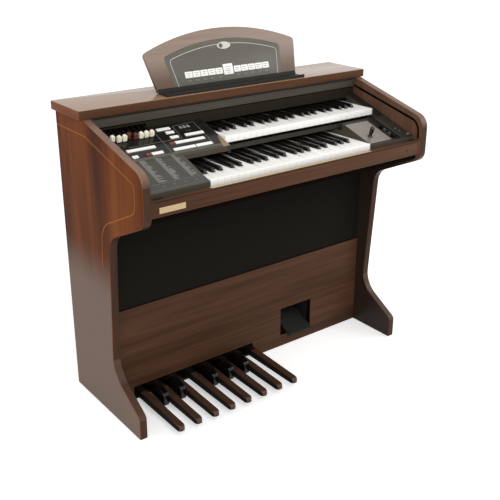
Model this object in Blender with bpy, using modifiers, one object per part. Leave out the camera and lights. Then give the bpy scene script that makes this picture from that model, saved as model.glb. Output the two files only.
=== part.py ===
"""A two-manual electronic organ with thirteen pedals, built as separate named pieces.

Frame: metres, X to the player's right, Y towards the back, Z up.
The origin is on the floor, at the middle of the cabinet's outline seen from above.
"""
import math

import bmesh
import bpy
from mathutils import Matrix, Vector

# Cabinet
CABINET_WIDTH = 1.068
SIDE_THICKNESS = 0.025
CABINET_DEPTH = 0.491
TOP_HEIGHT = 0.941
TOP_THICKNESS = 0.026
TOP_BOARD_SETBACK = 0.310
TOP_SIDE_OVERHANG = 0.010
TOP_BACK_OVERHANG = 0.007
SEAT_GAP = 0.0003
FOOT_GAP = 0.001
EDGE_BEVEL = 0.0015
FINE_BEVEL = 0.001
WIDE_BEVEL = 0.002
FUSE = 0.001
CUT_OVERRUN = 0.010

# Side panel outline, measured back from the nose
NOSE_SLOPE_START = 0.3134
NOSE_CORNER_DROP = 0.0857
NOSE_TOP_RADIUS = 0.045
NOSE_LOW_DROP = 0.0187
NOSE_LOW_RADIUS = 0.040
LEG_TOP_SETBACK = 0.1969
LEG_TOP_DROP = 0.1096
LEG_TOP_RADIUS = 0.060
LEG_FOOT_SETBACK = 0.226
LEG_FOOT_HEIGHT = 0.161
LEG_FOOT_RADIUS = 0.090
TOE_SETBACK = 0.080
TOE_HEIGHT = 0.0735
TOE_RADIUS = 0.020

# Boards between the sides
BACK_PANEL_THICKNESS = 0.006
BACK_PANEL_BOTTOM = 0.030
LOWER_PANEL_THICKNESS = 0.018
LOWER_PANEL_SETBACK = 0.2615
SPEAKER_HEIGHT = 0.3583
CLOTH_RECESS = 0.0055
CLOTH_THICKNESS = 0.005
BAFFLE_THICKNESS = 0.015
BAFFLE_HOLE_RADIUS = 0.095
KEY_BED_THICKNESS = 0.020
KEY_BED_FRONT_SETBACK = 0.0195
KEY_BED_BACK_GAP = 0.0385
KEYSLIP_SETBACK = 0.003
KEYSLIP_THICKNESS = 0.016
KEYSLIP_DROP = 0.0128
KEYSLIP_STEP = 0.006
KEYSLIP_LEDGE_GAP = 0.002
KEYSLIP_LEDGE_THICKNESS = 0.006
NAME_PLATE_SIZE = (0.081, 0.0165)
NAME_PLATE_THICKNESS = 0.0012
NAME_PLATE_INSET = 0.024
NAME_PLATE_DROP = 0.00375
LOCK_RADIUS = 0.0045
LOCK_THICKNESS = 0.0016
LOCK_INSET = 0.058
BUMPER_SIZE = (0.026, 0.005, 0.0035)
BUMPER_INSET = 0.017

# Manuals
NATURALS = 26
KEY_SIDE_GAP = 0.001
NATURAL_HEIGHT = 0.021
NATURAL_HEAD = 0.050
SHARP_WIDTH = 0.0110
SHARP_TOP_WIDTH = 0.0090
SHARP_RISE = 0.0105
SHARP_FRONT_GAP = 0.0015
SHARP_FRONT_SLOPE = 0.006
KEY_BACK_GAP = 0.043
KEY_REAR_SEAT = 0.018
KEY_SPINE = 0.006
SPINE_CLEARANCE = 0.0015
LOWER_KEY_SETBACK = 0.036
LOWER_KEY_DROP = 0.1707
KEY_STACK = 0.060
LOWER_BLOCK_WIDTH = 0.2082
RIGHT_CHEEK_WIDTH = 0.0328
MANUAL_STEP = 0.062
MANUAL_SETBACK = 0.158
MANUAL_SHIFT_KEYS = 7
KEY_DIP = 0.010
KEY_RAIL_INSET = 0.002
KEY_RAIL_SETBACK = 0.012
KEY_RAIL_DEPTH = 0.012
KEY_RAIL_FLOOR = 0.006
TRAY_SETBACK = 0.004
TRAY_RAIL = (0.001, 0.006)

# Sloping control panels
PANEL_SLOPE = 0.33
PANEL_FRONT_DROP = 0.0043
PANEL_SPLIT = 0.133
PANEL_BACK = 0.286
BLOCK_REAR = 0.080
PANEL_WALL = 0.005
BLOCK_ROOF = 0.012
TAB_ROOF = 0.004
TRAY_RISE = 0.0167
TRAY_THICKNESS = 0.0065
CHEEK_WIDTH = 0.0065
TAB_PITCH = 0.0092
TAB_SIZE = (0.0088, 0.011)
TAB_STAND = 0.0033
TAB_CHASSIS = 0.002
TAB_CHASSIS_GAP = 0.0006
TAB_TRAVEL = 0.0018
FIRST_ROW = 0.2955
SECOND_ROW = 0.275
THIRD_ROW = 0.250
FOURTH_ROW = 0.2225
FIFTH_ROW = 0.1925
LEFT_CHASSIS = (0.0597, 0.1487)
LEFT_FOURTH_INSET = 0.0612
LEFT_FIFTH_INSETS = (0.0617, 0.1052)
CENTRE_CHASSIS = (0.2211, 0.2467)
CENTRE_FIRST_INSET = 0.2020
CENTRE_SECOND_INSET = 0.2211
CENTRE_THIRD_INSET = 0.2207
RIGHT_UPPER_CHASSIS = (0.2727, 0.3197)
RIGHT_THIRD_INSET = 0.2718
RIGHT_FOURTH_INSET = 0.2012
RIGHT_LOWER_CHASSIS = (0.1967, 0.3237)
RIGHT_FIFTH_INSETS = (0.1957, 0.2722)
DRAWBAR_COUNT = 8
DRAWBAR_PITCH = 0.0177
DRAWBAR_KNOB = (0.0155, 0.013, 0.0195)
DRAWBAR_KNOB_ROUND = 0.006
DRAWBAR_KNOB_STAND = 0.0010
DRAWBAR_PUSHED_IN = {4: 0.008, 7: 0.006}
DRAWBAR_STEM = (0.008, 0.004)
DRAWBAR_STEM_STAND = 0.0045
DRAWBAR_STEM_BACK = 0.050
DRAWBAR_INSET = 0.1718
DRAWBAR_SETBACK = 0.280
FASCIA_THICKNESS = 0.012
FASCIA_BOTTOM_GAP = 0.004
FASCIA_TOP_DROP = 0.061
FASCIA_SETBACK = 0.3235
LEVER_RADIUS = 0.0055
LEVER_TIP_RADIUS = 0.0085
LEVER_LENGTH = 0.037
LEVER_BALL_RADIUS = 0.0075
LEVER_WELL_DEPTH = 0.0085
LEVER_PLACE = (0.037, 0.040)
SLIDER_SLOT = (0.016, 0.074)
SLIDER_SLOT_DEPTH = 0.008
SLIDER_KNOB = (0.009, 0.010, 0.006)
SLIDER_SPACING = 0.022
SLIDER_PLACE = (0.1185, 0.0455)

# Sliding lid
LID_SLOPE = 0.2438
LID_BAR = (0.012, 0.0305)
LID_BAR_SETBACK = 0.319
LID_BAR_DROP = 0.058
LID_PIN_RADIUS = 0.0037
LID_PIN_REACH = 0.005
GROOVE_DEPTH = 0.007
GROOVE_FRONT_INSET = 0.0165
GROOVE_BEND_RADIUS = 0.050
GROOVE_END_DROP = 0.0103
GROOVE_OVERRUN = 0.020
TAMBOUR_THICKNESS = 0.005
TAMBOUR_LENGTH = 0.088
TAMBOUR_GAP = 0.0005
LID_SIDE_GAP = 0.001

# Music rest
REST_HALF_BOTTOM = 0.268
REST_HALF_TOP = 0.291
REST_SIDE_HEIGHT = 0.1235
REST_ARCH_HEIGHT = 0.181
REST_CORNER_RADIUS = 0.014
REST_ARCH_STEPS = 14
REST_THICKNESS = 0.012
REST_LEAN = math.radians(21.0)
REST_SETBACK = 0.368
REST_CENTRE = 0.0126
LEDGE_DEPTH = 0.047
LEDGE_FLOOR = 0.004
LEDGE_LIP = (0.003, 0.009)
LEDGE_FLANGE = (0.004, 0.014)
REST_PIN_RADIUS = 0.004
REST_PIN_LENGTH = 0.014
REST_PIN_SPREAD = 0.200
PIN_CLEARANCE = 0.0005

# Pedals
PEDAL_PITCH = 0.062
PEDAL_WIDTH = 0.024
PEDAL_SHARP_WIDTH = 0.022
PEDAL_INSET = 0.079
PEDAL_BOTTOM = 0.026
PEDAL_HEIGHT = 0.026
PEDAL_NOSE_DROP = 0.006
PEDAL_NOSE_SETBACK = 0.009
PEDAL_NOSE_RADIUS = 0.008
PEDAL_CHIN = (0.004, 0.012)
PEDAL_CHIN_RADIUS = 0.006
PEDAL_SHARP_SETBACK = 0.148
PEDAL_SHARP_TOP = 0.092
PEDAL_SHARP_CREST_GAP = 0.056
PEDAL_SHARP_CREST_RADIUS = 0.020
PEDAL_SHARP_NOSE_RADIUS = 0.010
PEDAL_SHARP_RISE = 0.004
PEDAL_SHARP_HEEL = 0.006
PEDAL_SHARP_BELLY = 0.010
PEDAL_SHARP_FRONT_TOP = 0.0725
PEDAL_AXLE_BACK_GAP = 0.0675
PEDAL_CREST_SETBACK = 0.170
PEDAL_AXLE_HEIGHT = 0.040
PEDAL_AXLE_RADIUS = 0.004
PEDAL_TAIL = 0.012
PEDAL_OPENING_TOP = 0.058
PEDAL_OPENING_MARGIN = 0.006
PEDAL_FRAME_FLOOR = 0.006
PEDAL_FRAME_WALL = 0.012
PEDAL_FRAME_TAIL = 0.035
PEDAL_CHEEK_TOP = 0.075
PEDAL_BACK_STOP = (0.003, 0.016, 0.060)
PEDAL_RAIL = (0.003, 0.023)
PEDAL_RAIL_GAP = 0.0008

# Expression pedal
TREADLE_OPENING = (0.139, 0.105)
TREADLE_GAP = 0.142
TREADLE_OPENING_BOTTOM = 0.045
TREADLE_WALL = 0.004
TREADLE_BACK_GAP = 0.0232
TREADLE_TIP_GAP = 0.0332
TREADLE_PLATE = (0.104, 0.010)
TREADLE_PLATE_SHIFT = 0.008
TREADLE_RISE = 0.0386
TREADLE_AXLE_DEPTH = 0.051
TREADLE_AXLE_HEIGHT = 0.079
TREADLE_AXLE_RADIUS = 0.004

# Inside the cabinet
WOOFER_INSET = 0.389
WOOFER_DROP = 0.2103
WOOFER_RADIUS = 0.110
WOOFER_DEPTH = 0.080
WOOFER_CONE = 0.030
WOOFER_CAP = 0.018
WOOFER_RIM = 0.006
WOOFER_EDGE_SHARE = 0.8
WOOFER_MAGNET_SHARE = 0.45
WOOFER_CONE_SHARE = 0.6
WOOFER_BASKET_SHARE = 0.6
WOOFER_SEGMENTS = 24
AMPLIFIER_SIZE = (0.260, 0.060, 0.120)
AMPLIFIER_INSET = 0.089
AMPLIFIER_BOTTOM = 0.380
FIN_COUNT = 7
FIN_INSET = 0.030
FIN_PITCH = 0.032
FIN_SLOT = (0.012, 0.020)
FIN_FLOOR = 0.010
INLET_SIZE = (0.028, 0.024, 0.020)
INLET_INSET = 0.129
INLET_HEIGHT = 0.120
INLET_WALL = 0.003
INLET_FLOOR = 0.008
INLET_STAND = 0.002

ARC_STEPS = 6
ROUND_SEGMENTS = 16

# Places worked out from the driving dimensions
Y_NOSE = -CABINET_DEPTH / 2
Y_TOP_BACK = CABINET_DEPTH / 2
Y_BACK = Y_TOP_BACK - TOP_BACK_OVERHANG
X_OUTER = CABINET_WIDTH / 2
X_INNER = X_OUTER - SIDE_THICKNESS
X_BOARD = X_INNER - SEAT_GAP
Z_TOP_UNDER = TOP_HEIGHT - TOP_THICKNESS
LOWER_KEY_TOP = TOP_HEIGHT - LOWER_KEY_DROP
KEY_BED_TOP = LOWER_KEY_TOP - KEY_STACK
KEYSLIP_TOP = LOWER_KEY_TOP - KEYSLIP_DROP
LOWER_PANEL_TOP = KEY_BED_TOP - KEY_BED_THICKNESS - SPEAKER_HEIGHT
TRAY_BOTTOM = LOWER_KEY_TOP + TRAY_RISE
LID_BAR_BOTTOM = TOP_HEIGHT - LID_BAR_DROP
Y_TOP_FRONT = Y_NOSE + TOP_BOARD_SETBACK
Y_PANEL = Y_NOSE + LOWER_PANEL_SETBACK
Y_BACK_PANEL = Y_BACK - BACK_PANEL_THICKNESS
Y_LOWER_KEYS = Y_NOSE + LOWER_KEY_SETBACK
Y_UPPER_KEYS = Y_LOWER_KEYS + MANUAL_SETBACK
KEY_LENGTH = Y_BACK_PANEL - KEY_BACK_GAP - Y_UPPER_KEYS
PITCHES = NATURALS + MANUAL_SHIFT_KEYS
KEY_PITCH = (2 * X_BOARD - LOWER_BLOCK_WIDTH - RIGHT_CHEEK_WIDTH - 3 * SEAT_GAP) / PITCHES
X_LOWER_KEYS = -X_BOARD + LOWER_BLOCK_WIDTH + 2 * SEAT_GAP
X_UPPER_KEYS = X_LOWER_KEYS + MANUAL_SHIFT_KEYS * KEY_PITCH
KEYBOARD_WIDTH = NATURALS * KEY_PITCH
UPPER_KEY_TOP = LOWER_KEY_TOP + MANUAL_STEP
Z_PANEL_FRONT = LOWER_KEY_TOP - PANEL_FRONT_DROP
PANEL_ANGLE = math.atan(PANEL_SLOPE)
PANEL_FRAME = Matrix.Translation((0, Y_LOWER_KEYS, Z_PANEL_FRONT)) @ Matrix.Rotation(PANEL_ANGLE, 4, "X")
LID_ANGLE = math.atan(LID_SLOPE)
Y_LID_BAR = Y_NOSE + LID_BAR_SETBACK
Y_LID_PIN = Y_LID_BAR + LID_BAR[0] / 2
Z_LID_PIN = LID_BAR_BOTTOM + LID_PIN_RADIUS + EDGE_BEVEL
Y_AXLE = Y_BACK_PANEL - PEDAL_AXLE_BACK_GAP
PEDAL_FIRST_X = -X_INNER + PEDAL_INSET
TREADLE_OPENING_LEFT = PEDAL_FIRST_X + 7 * PEDAL_PITCH + TREADLE_GAP
TREADLE_BOX_DEPTH = Y_BACK_PANEL - TREADLE_BACK_GAP - Y_PANEL - LOWER_PANEL_THICKNESS - SEAT_GAP
WOOFER_CENTRE = (X_INNER - WOOFER_INSET, KEY_BED_TOP - WOOFER_DROP)
AMPLIFIER_LEFT = -X_INNER + AMPLIFIER_INSET
INLET_CENTRE = (X_INNER - INLET_INSET, INLET_HEIGHT)

SHARP_PLACES = {0: 0.90, 1: 2.10, 3: 3.86, 4: 5.00, 5: 6.14}
FIRST_NATURAL = 3


def srgb(red, green, blue):
    """Turn an 8-bit display colour into the linear colour that a shader takes."""
    def linear(value):
        share = value / 255
        return share / 12.92 if share <= 0.04045 else ((share + 0.055) / 1.055) ** 2.4
    return (linear(red), linear(green), linear(blue), 1.0)


def material(name, colour, roughness, metallic=0.0):
    shader = bpy.data.materials.new(name)
    shader.use_nodes = True
    principled = shader.node_tree.nodes["Principled BSDF"]
    principled.inputs["Base Color"].default_value = srgb(*colour)
    principled.inputs["Roughness"].default_value = roughness
    principled.inputs["Metallic"].default_value = metallic
    shader.diffuse_color = srgb(*colour)
    return shader


for old in list(bpy.data.objects):
    bpy.data.objects.remove(old, do_unlink=True)
PARTS = bpy.data.collections.new("electronic_organ")
CUTTERS = bpy.data.collections.new("cutters")
bpy.context.scene.collection.children.link(PARTS)
bpy.context.scene.collection.children.link(CUTTERS)

COLOURS = {
    "veneer": ((112, 62, 38), 0.35), "board": ((78, 54, 42), 0.40), "keyslip": ((90, 63, 49), 0.35),
    "hardboard": ((120, 95, 70), 0.80), "cloth": ((32, 30, 27), 0.95),
    "black": ((30, 29, 27), 0.15), "grey": ((84, 84, 79), 0.45), "dark": ((50, 48, 42), 0.50),
    "ivory": ((250, 248, 240), 0.20), "ebony": ((20, 20, 20), 0.15), "brown_key": ((118, 66, 50), 0.30),
    "cream": ((244, 234, 210), 0.25), "rest": ((135, 118, 106), 0.35), "ledge": ((74, 77, 77), 0.45),
    "pedal": ((74, 52, 42), 0.35), "rubber": ((25, 25, 25), 0.90), "lid": ((68, 64, 58), 0.45),
}
METALS = {"gold": ((220, 198, 140), 0.30), "steel": ((150, 150, 150), 0.35)}
MATERIALS = {name: material(name, *look) for name, look in COLOURS.items()}
MATERIALS.update({name: material(name, *look, metallic=1.0) for name, look in METALS.items()})


def rounded(corners):
    """Outline points: each corner is (u, v) or (u, v, radius), and a radius becomes an arc."""
    points = []
    for index, corner in enumerate(corners):
        here = Vector(corner[:2])
        if len(corner) == 2:
            points.append(here)
            continue
        before = (Vector(corners[index - 1][:2]) - here).normalized()
        after = (Vector(corners[(index + 1) % len(corners)][:2]) - here).normalized()
        half = before.angle(after) / 2
        centre = here + (before + after).normalized() * corner[2] / math.sin(half)
        start = here + before * corner[2] / math.tan(half) - centre
        end = here + after * corner[2] / math.tan(half) - centre
        for step in range(ARC_STEPS + 1):
            points.append(centre + corner[2] * start.slerp(end, step / ARC_STEPS))
    return points


def weld(mesh):
    """Merge doubled points and point the faces outwards."""
    shape = bmesh.new()
    shape.from_mesh(mesh)
    bmesh.ops.remove_doubles(shape, verts=shape.verts, dist=0.00001)
    bmesh.ops.recalc_face_normals(shape, faces=shape.faces)
    shape.to_mesh(mesh)
    shape.free()
    return mesh


TURNS = {
    "YZ": Matrix(((0, 0, 1), (1, 0, 0), (0, 1, 0))).to_4x4(),
    "XZ": Matrix(((1, 0, 0), (0, 0, -1), (0, 1, 0))).to_4x4(),
    "XY": Matrix.Identity(4),
}


def outline_mesh(outlines, low, high, plane):
    """Solids with flat outlines in a plane, reaching from low to high across it."""
    curve = bpy.data.curves.new("outline", "CURVE")
    curve.dimensions = "2D"
    curve.fill_mode = "BOTH"
    curve.extrude = (high - low) / 2
    for outline in outlines:
        spline = curve.splines.new("POLY")
        spline.points.add(len(outline) - 1)
        for point, place in zip(spline.points, outline):
            point.co = (place[0], place[1], 0, 1)
        spline.use_cyclic_u = True
    holder = bpy.data.objects.new("outline", curve)
    CUTTERS.objects.link(holder)
    bpy.context.view_layer.update()
    mesh = bpy.data.meshes.new_from_object(holder.evaluated_get(bpy.context.evaluated_depsgraph_get()))
    bpy.data.objects.remove(holder)
    bpy.data.curves.remove(curve)
    middle = (low + high) / 2 * (-1 if plane == "XZ" else 1)
    mesh.transform(TURNS[plane] @ Matrix.Translation((0, 0, middle)))
    return weld(mesh)


def box_mesh(low, high, frame=Matrix.Identity(4)):
    """A block between two corners, in a frame of its own if it leans."""
    shape = bmesh.new()
    bmesh.ops.create_cube(shape, size=1)
    size = [b - a for a, b in zip(low, high)]
    centre = [(a + b) / 2 for a, b in zip(low, high)]
    bmesh.ops.scale(shape, vec=size, verts=shape.verts)
    bmesh.ops.translate(shape, vec=centre, verts=shape.verts)
    mesh = bpy.data.meshes.new("box")
    shape.to_mesh(mesh)
    shape.free()
    mesh.transform(frame)
    return mesh


def rod_mesh(centre, radius, length, axis, segments=ROUND_SEGMENTS, top_radius=None):
    """A round rod about its middle, along X, Y or Z, or along a given frame's Z."""
    shape = bmesh.new()
    tip = radius if top_radius is None else top_radius
    bmesh.ops.create_cone(shape, cap_ends=True, segments=segments, radius1=radius, radius2=tip, depth=length)
    mesh = bpy.data.meshes.new("rod")
    shape.to_mesh(mesh)
    shape.free()
    turn = axis if isinstance(axis, Matrix) else Vector((0, 0, 1)).rotation_difference(
        Vector([float(letter == axis) for letter in "XYZ"])).to_matrix().to_4x4()
    mesh.transform(Matrix.Translation(centre) @ turn)
    return mesh


def joined(meshes):
    """Put several meshes in one, as separate bodies."""
    shape = bmesh.new()
    for mesh in meshes:
        shape.from_mesh(mesh)
        bpy.data.meshes.remove(mesh)
    whole = bpy.data.meshes.new("joined")
    shape.to_mesh(whole)
    shape.free()
    return whole


def place(name, mesh, look, pivot=(0, 0, 0), collection=None):
    """Make the named object, with its origin at the pivot of its joint."""
    mesh.name = name
    mesh.transform(Matrix.Translation(-Vector(pivot)))
    mesh.materials.clear()
    mesh.materials.append(MATERIALS[look])
    piece = bpy.data.objects.new(name, mesh)
    piece.location = pivot
    (collection or PARTS).objects.link(piece)
    return piece


def soften(piece, width=EDGE_BEVEL, segments=1):
    """Break the sharp edges of a board or moulding."""
    bevel = piece.modifiers.new("Edges", "BEVEL")
    bevel.width = width
    bevel.segments = segments
    bevel.limit_method = "ANGLE"
    bevel.angle_limit = math.radians(40)
    return piece


def combine(piece, mesh, operation):
    """Cut a shape out of a piece, or fuse one to it, with an exact Boolean."""
    tool = place(piece.name + "_" + operation.lower(), mesh, "dark", collection=CUTTERS)
    tool.hide_render = True
    tool.display_type = "WIRE"
    change = piece.modifiers.new(operation.title(), "BOOLEAN")
    change.operation = operation
    change.solver = "EXACT"
    change.object = tool
    return piece


def panel_y(y):
    """Distance up the sloping panel to a place given by its Y."""
    return (y - Y_LOWER_KEYS) / math.cos(PANEL_ANGLE)


def panel_z(y):
    """Height of the sloping panel at a given Y."""
    return Z_PANEL_FRONT + (y - Y_LOWER_KEYS) * PANEL_SLOPE


def lid_z(y):
    """Height of the lid's pin on the straight run of its groove."""
    return Z_LID_PIN + (y - Y_LID_PIN) * LID_SLOPE


def side_outline():
    """The side panel seen from the side: flat top, sloping shoulder, nose, leg and toe."""
    y_slope = Y_NOSE + NOSE_SLOPE_START
    z_top = Z_TOP_UNDER - SEAT_GAP
    return rounded([
        (Y_BACK, 0),
        (Y_BACK, z_top),
        (y_slope, z_top),
        (Y_NOSE, z_top - NOSE_CORNER_DROP, NOSE_TOP_RADIUS),
        (Y_NOSE, KEY_BED_TOP - NOSE_LOW_DROP, NOSE_LOW_RADIUS),
        (Y_NOSE + LEG_TOP_SETBACK, KEY_BED_TOP - LEG_TOP_DROP, LEG_TOP_RADIUS),
        (Y_NOSE + LEG_FOOT_SETBACK, LEG_FOOT_HEIGHT, LEG_FOOT_RADIUS),
        (Y_NOSE + TOE_SETBACK, TOE_HEIGHT, TOE_RADIUS),
        (Y_NOSE + TOE_SETBACK, 0),
    ])


def groove_outline():
    """The lid's groove: a slot down the shoulder that turns down behind the nose."""
    y_front = Y_NOSE + GROOVE_FRONT_INSET
    half = LID_PIN_RADIUS + SEAT_GAP
    y_rear = Y_LID_PIN + GROOVE_OVERRUN
    normal = Vector((-math.sin(LID_ANGLE), math.cos(LID_ANGLE))) * half

    def run(side):
        y_down = y_front - half * side
        rear = Vector((y_rear, lid_z(y_rear))) + normal * side
        bend_z = rear.y + (y_down - rear.x) * LID_SLOPE
        return [(y_down, LOWER_KEY_TOP - GROOVE_END_DROP), (y_down, bend_z, GROOVE_BEND_RADIUS + half * side), tuple(rear)]

    outer, inner = run(1), run(-1)
    return rounded(outer + inner[::-1])


def build_cabinet():
    """The wooden case and its boards."""
    for side, name in ((-1, "left_side_panel"), (1, "right_side_panel")):
        edges = sorted((side * X_INNER, side * X_OUTER))
        panel = soften(place(name, outline_mesh([side_outline()], *edges, "YZ"), "veneer"))
        cut = sorted((side * (X_INNER - CUT_OVERRUN), side * (X_INNER + GROOVE_DEPTH)))
        combine(panel, outline_mesh([groove_outline()], *cut, "YZ"), "DIFFERENCE")

    half_top = X_OUTER + TOP_SIDE_OVERHANG
    top = box_mesh((-half_top, Y_TOP_FRONT, Z_TOP_UNDER), (half_top, Y_TOP_BACK, TOP_HEIGHT))
    top = soften(place("top_board", top, "veneer"), WIDE_BEVEL)
    sockets = [rod_mesh((x, rest_pin_y(), TOP_HEIGHT), REST_PIN_RADIUS + PIN_CLEARANCE,
                        2 * REST_PIN_LENGTH, "Z") for x in rest_pin_places()]
    combine(top, joined(sockets), "DIFFERENCE")

    back = place("back_panel", box_mesh((-X_BOARD, Y_BACK_PANEL, BACK_PANEL_BOTTOM),
                                        (X_BOARD, Y_BACK, Z_TOP_UNDER - SEAT_GAP)), "hardboard")
    x, z = INLET_CENTRE
    half_width, half_height = INLET_SIZE[0] / 2 + SEAT_GAP, INLET_SIZE[2] / 2 + SEAT_GAP
    hole = box_mesh((x - half_width, Y_BACK - CUT_OVERRUN, z - half_height),
                    (x + half_width, Y_BACK + CUT_OVERRUN, z + half_height))
    combine(back, hole, "DIFFERENCE")

    panel = box_mesh((-X_BOARD, Y_PANEL, FOOT_GAP),
                     (X_BOARD, Y_PANEL + LOWER_PANEL_THICKNESS, LOWER_PANEL_TOP))
    panel = soften(place("lower_front_panel", panel, "board"))
    last_x = PEDAL_FIRST_X + 7 * PEDAL_PITCH
    edge = PEDAL_WIDTH / 2 + PEDAL_OPENING_MARGIN
    y_cut, y_cut_back = Y_PANEL - CUT_OVERRUN, Y_PANEL + LOWER_PANEL_THICKNESS + CUT_OVERRUN
    pedal_gap = box_mesh((PEDAL_FIRST_X - edge, y_cut, -CUT_OVERRUN), (last_x + edge, y_cut_back, PEDAL_OPENING_TOP))
    recess = box_mesh((TREADLE_OPENING_LEFT, y_cut, TREADLE_OPENING_BOTTOM),
                      (TREADLE_OPENING_LEFT + TREADLE_OPENING[0], y_cut_back,
                       TREADLE_OPENING_BOTTOM + TREADLE_OPENING[1]))
    combine(panel, joined([pedal_gap, recess]), "DIFFERENCE")

    y_cloth = Y_PANEL + CLOTH_RECESS
    y_baffle = y_cloth + CLOTH_THICKNESS + SEAT_GAP
    z_low = LOWER_PANEL_TOP + SEAT_GAP
    z_high = KEY_BED_TOP - KEY_BED_THICKNESS - SEAT_GAP
    place("speaker_cloth", box_mesh((-X_BOARD, y_cloth, z_low),
                                    (X_BOARD, y_cloth + CLOTH_THICKNESS, z_high)), "cloth")
    baffle = place("speaker_baffle", box_mesh((-X_BOARD, y_baffle, z_low),
                                              (X_BOARD, y_baffle + BAFFLE_THICKNESS, z_high)), "dark")
    combine(baffle, rod_mesh((WOOFER_CENTRE[0], y_baffle, WOOFER_CENTRE[1]), BAFFLE_HOLE_RADIUS,
                             4 * BAFFLE_THICKNESS, "Y", 24), "DIFFERENCE")

    y_bed = Y_NOSE + KEY_BED_FRONT_SETBACK
    soften(place("key_bed", box_mesh((-X_BOARD, y_bed, KEY_BED_TOP - KEY_BED_THICKNESS),
                                     (X_BOARD, Y_BACK_PANEL - KEY_BED_BACK_GAP, KEY_BED_TOP)), "dark"))

    y_slip = Y_NOSE + KEYSLIP_SETBACK
    y_slip_back = y_slip + KEYSLIP_THICKNESS
    y_ledge = Y_LOWER_KEYS - KEYSLIP_LEDGE_GAP
    z_ledge = KEYSLIP_TOP - KEYSLIP_STEP
    slip = outline_mesh([[
        (y_slip, KEY_BED_TOP + SEAT_GAP), (y_slip_back, KEY_BED_TOP + SEAT_GAP),
        (y_slip_back, z_ledge - KEYSLIP_LEDGE_THICKNESS), (y_ledge, z_ledge - KEYSLIP_LEDGE_THICKNESS),
        (y_ledge, z_ledge), (y_slip_back, z_ledge), (y_slip_back, KEYSLIP_TOP), (y_slip, KEYSLIP_TOP)]],
        -X_BOARD, X_BOARD, "YZ")
    soften(place("keyslip", slip, "keyslip"), FINE_BEVEL)

    x_plate = -X_INNER + NAME_PLATE_INSET
    z_plate = (KEY_BED_TOP + KEYSLIP_TOP - NAME_PLATE_SIZE[1]) / 2 - NAME_PLATE_DROP
    plate = box_mesh((x_plate, y_slip - SEAT_GAP - NAME_PLATE_THICKNESS, z_plate),
                     (x_plate + NAME_PLATE_SIZE[0], y_slip - SEAT_GAP, z_plate + NAME_PLATE_SIZE[1]))
    place("name_plate", plate, "gold")
    lock = rod_mesh((X_INNER - LOCK_INSET, y_slip - SEAT_GAP - LOCK_THICKNESS / 2, z_plate + NAME_PLATE_SIZE[1] / 2),
                    LOCK_RADIUS, LOCK_THICKNESS, "Y")
    place("lid_lock", lock, "steel")

    for side, name in ((-1, "lid_bumper_left"), (1, "lid_bumper_right")):
        x = sorted((side * (X_INNER - BUMPER_INSET), side * (X_INNER - BUMPER_INSET - BUMPER_SIZE[0])))
        y = Y_NOSE + GROOVE_FRONT_INSET - BUMPER_SIZE[1] / 2
        place(name, box_mesh((x[0], y, KEYSLIP_TOP + SEAT_GAP),
                             (x[1], y + BUMPER_SIZE[1], KEYSLIP_TOP + SEAT_GAP + BUMPER_SIZE[2])), "rubber")

    y = Y_NOSE + FASCIA_SETBACK
    fascia = box_mesh((-X_BOARD, y, UPPER_KEY_TOP + SHARP_RISE + FASCIA_BOTTOM_GAP),
                      (X_BOARD, y + FASCIA_THICKNESS, TOP_HEIGHT - FASCIA_TOP_DROP))
    fascia = place("rear_fascia", fascia, "dark")
    stem_z = panel_z(y + FASCIA_THICKNESS / 2) + (DRAWBAR_STEM_STAND + DRAWBAR_STEM[1] / 2) / math.cos(PANEL_ANGLE)
    slot_half = DRAWBAR_STEM[1] / 2 / math.cos(PANEL_ANGLE) + FASCIA_THICKNESS / 2 * PANEL_SLOPE + PIN_CLEARANCE
    places = drawbar_places()
    half = DRAWBAR_PITCH / 2
    notch = box_mesh((min(places) - half, y - CUT_OVERRUN, UPPER_KEY_TOP),
                     (max(places) + half, y + FASCIA_THICKNESS + CUT_OVERRUN, stem_z + slot_half))
    combine(fascia, notch, "DIFFERENCE")


def drawbar_places():
    return [-X_BOARD + DRAWBAR_INSET - index * DRAWBAR_PITCH for index in range(DRAWBAR_COUNT)]


def panel_outline(front, back, bottom, lift=0.0):
    """Side view of a wedge under the sloping panel, between two Y places."""
    return [(front, bottom), (back, bottom), (back, panel_z(back) - lift), (front, panel_z(front) - lift)]


# Tab banks: the inset of the left end and of the right end of the chassis under the panel, then for
# each row its setback from the nose, the inset of its left end and its count of tabs.
TAB_BANKS = {
    "tabs_left": (*LEFT_CHASSIS, [
        (FOURTH_ROW, LEFT_FOURTH_INSET, 10), (FIFTH_ROW, LEFT_FIFTH_INSETS[0], 2), (FIFTH_ROW, LEFT_FIFTH_INSETS[1], 6)]),
    "tabs_centre": (*CENTRE_CHASSIS, [
        (FIRST_ROW, CENTRE_FIRST_INSET, 5), (SECOND_ROW, CENTRE_SECOND_INSET, 3), (THIRD_ROW, CENTRE_THIRD_INSET, 3)]),
    "tabs_right_upper": (*RIGHT_UPPER_CHASSIS, [
        (THIRD_ROW, RIGHT_THIRD_INSET, 7), (FOURTH_ROW, RIGHT_FOURTH_INSET, 13)]),
    "tabs_right_lower": (*RIGHT_LOWER_CHASSIS, [
        (FIFTH_ROW, RIGHT_FIFTH_INSETS[0], 8), (FIFTH_ROW, RIGHT_FIFTH_INSETS[1], 6)]),
}


def bank_span(setback, inset, count):
    """Local corners of one row of tabs on the panel."""
    left = -X_BOARD + inset
    front = panel_y(Y_NOSE + setback)
    return left, left + (count - 1) * TAB_PITCH + TAB_SIZE[0], front, front + TAB_SIZE[1]


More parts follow.
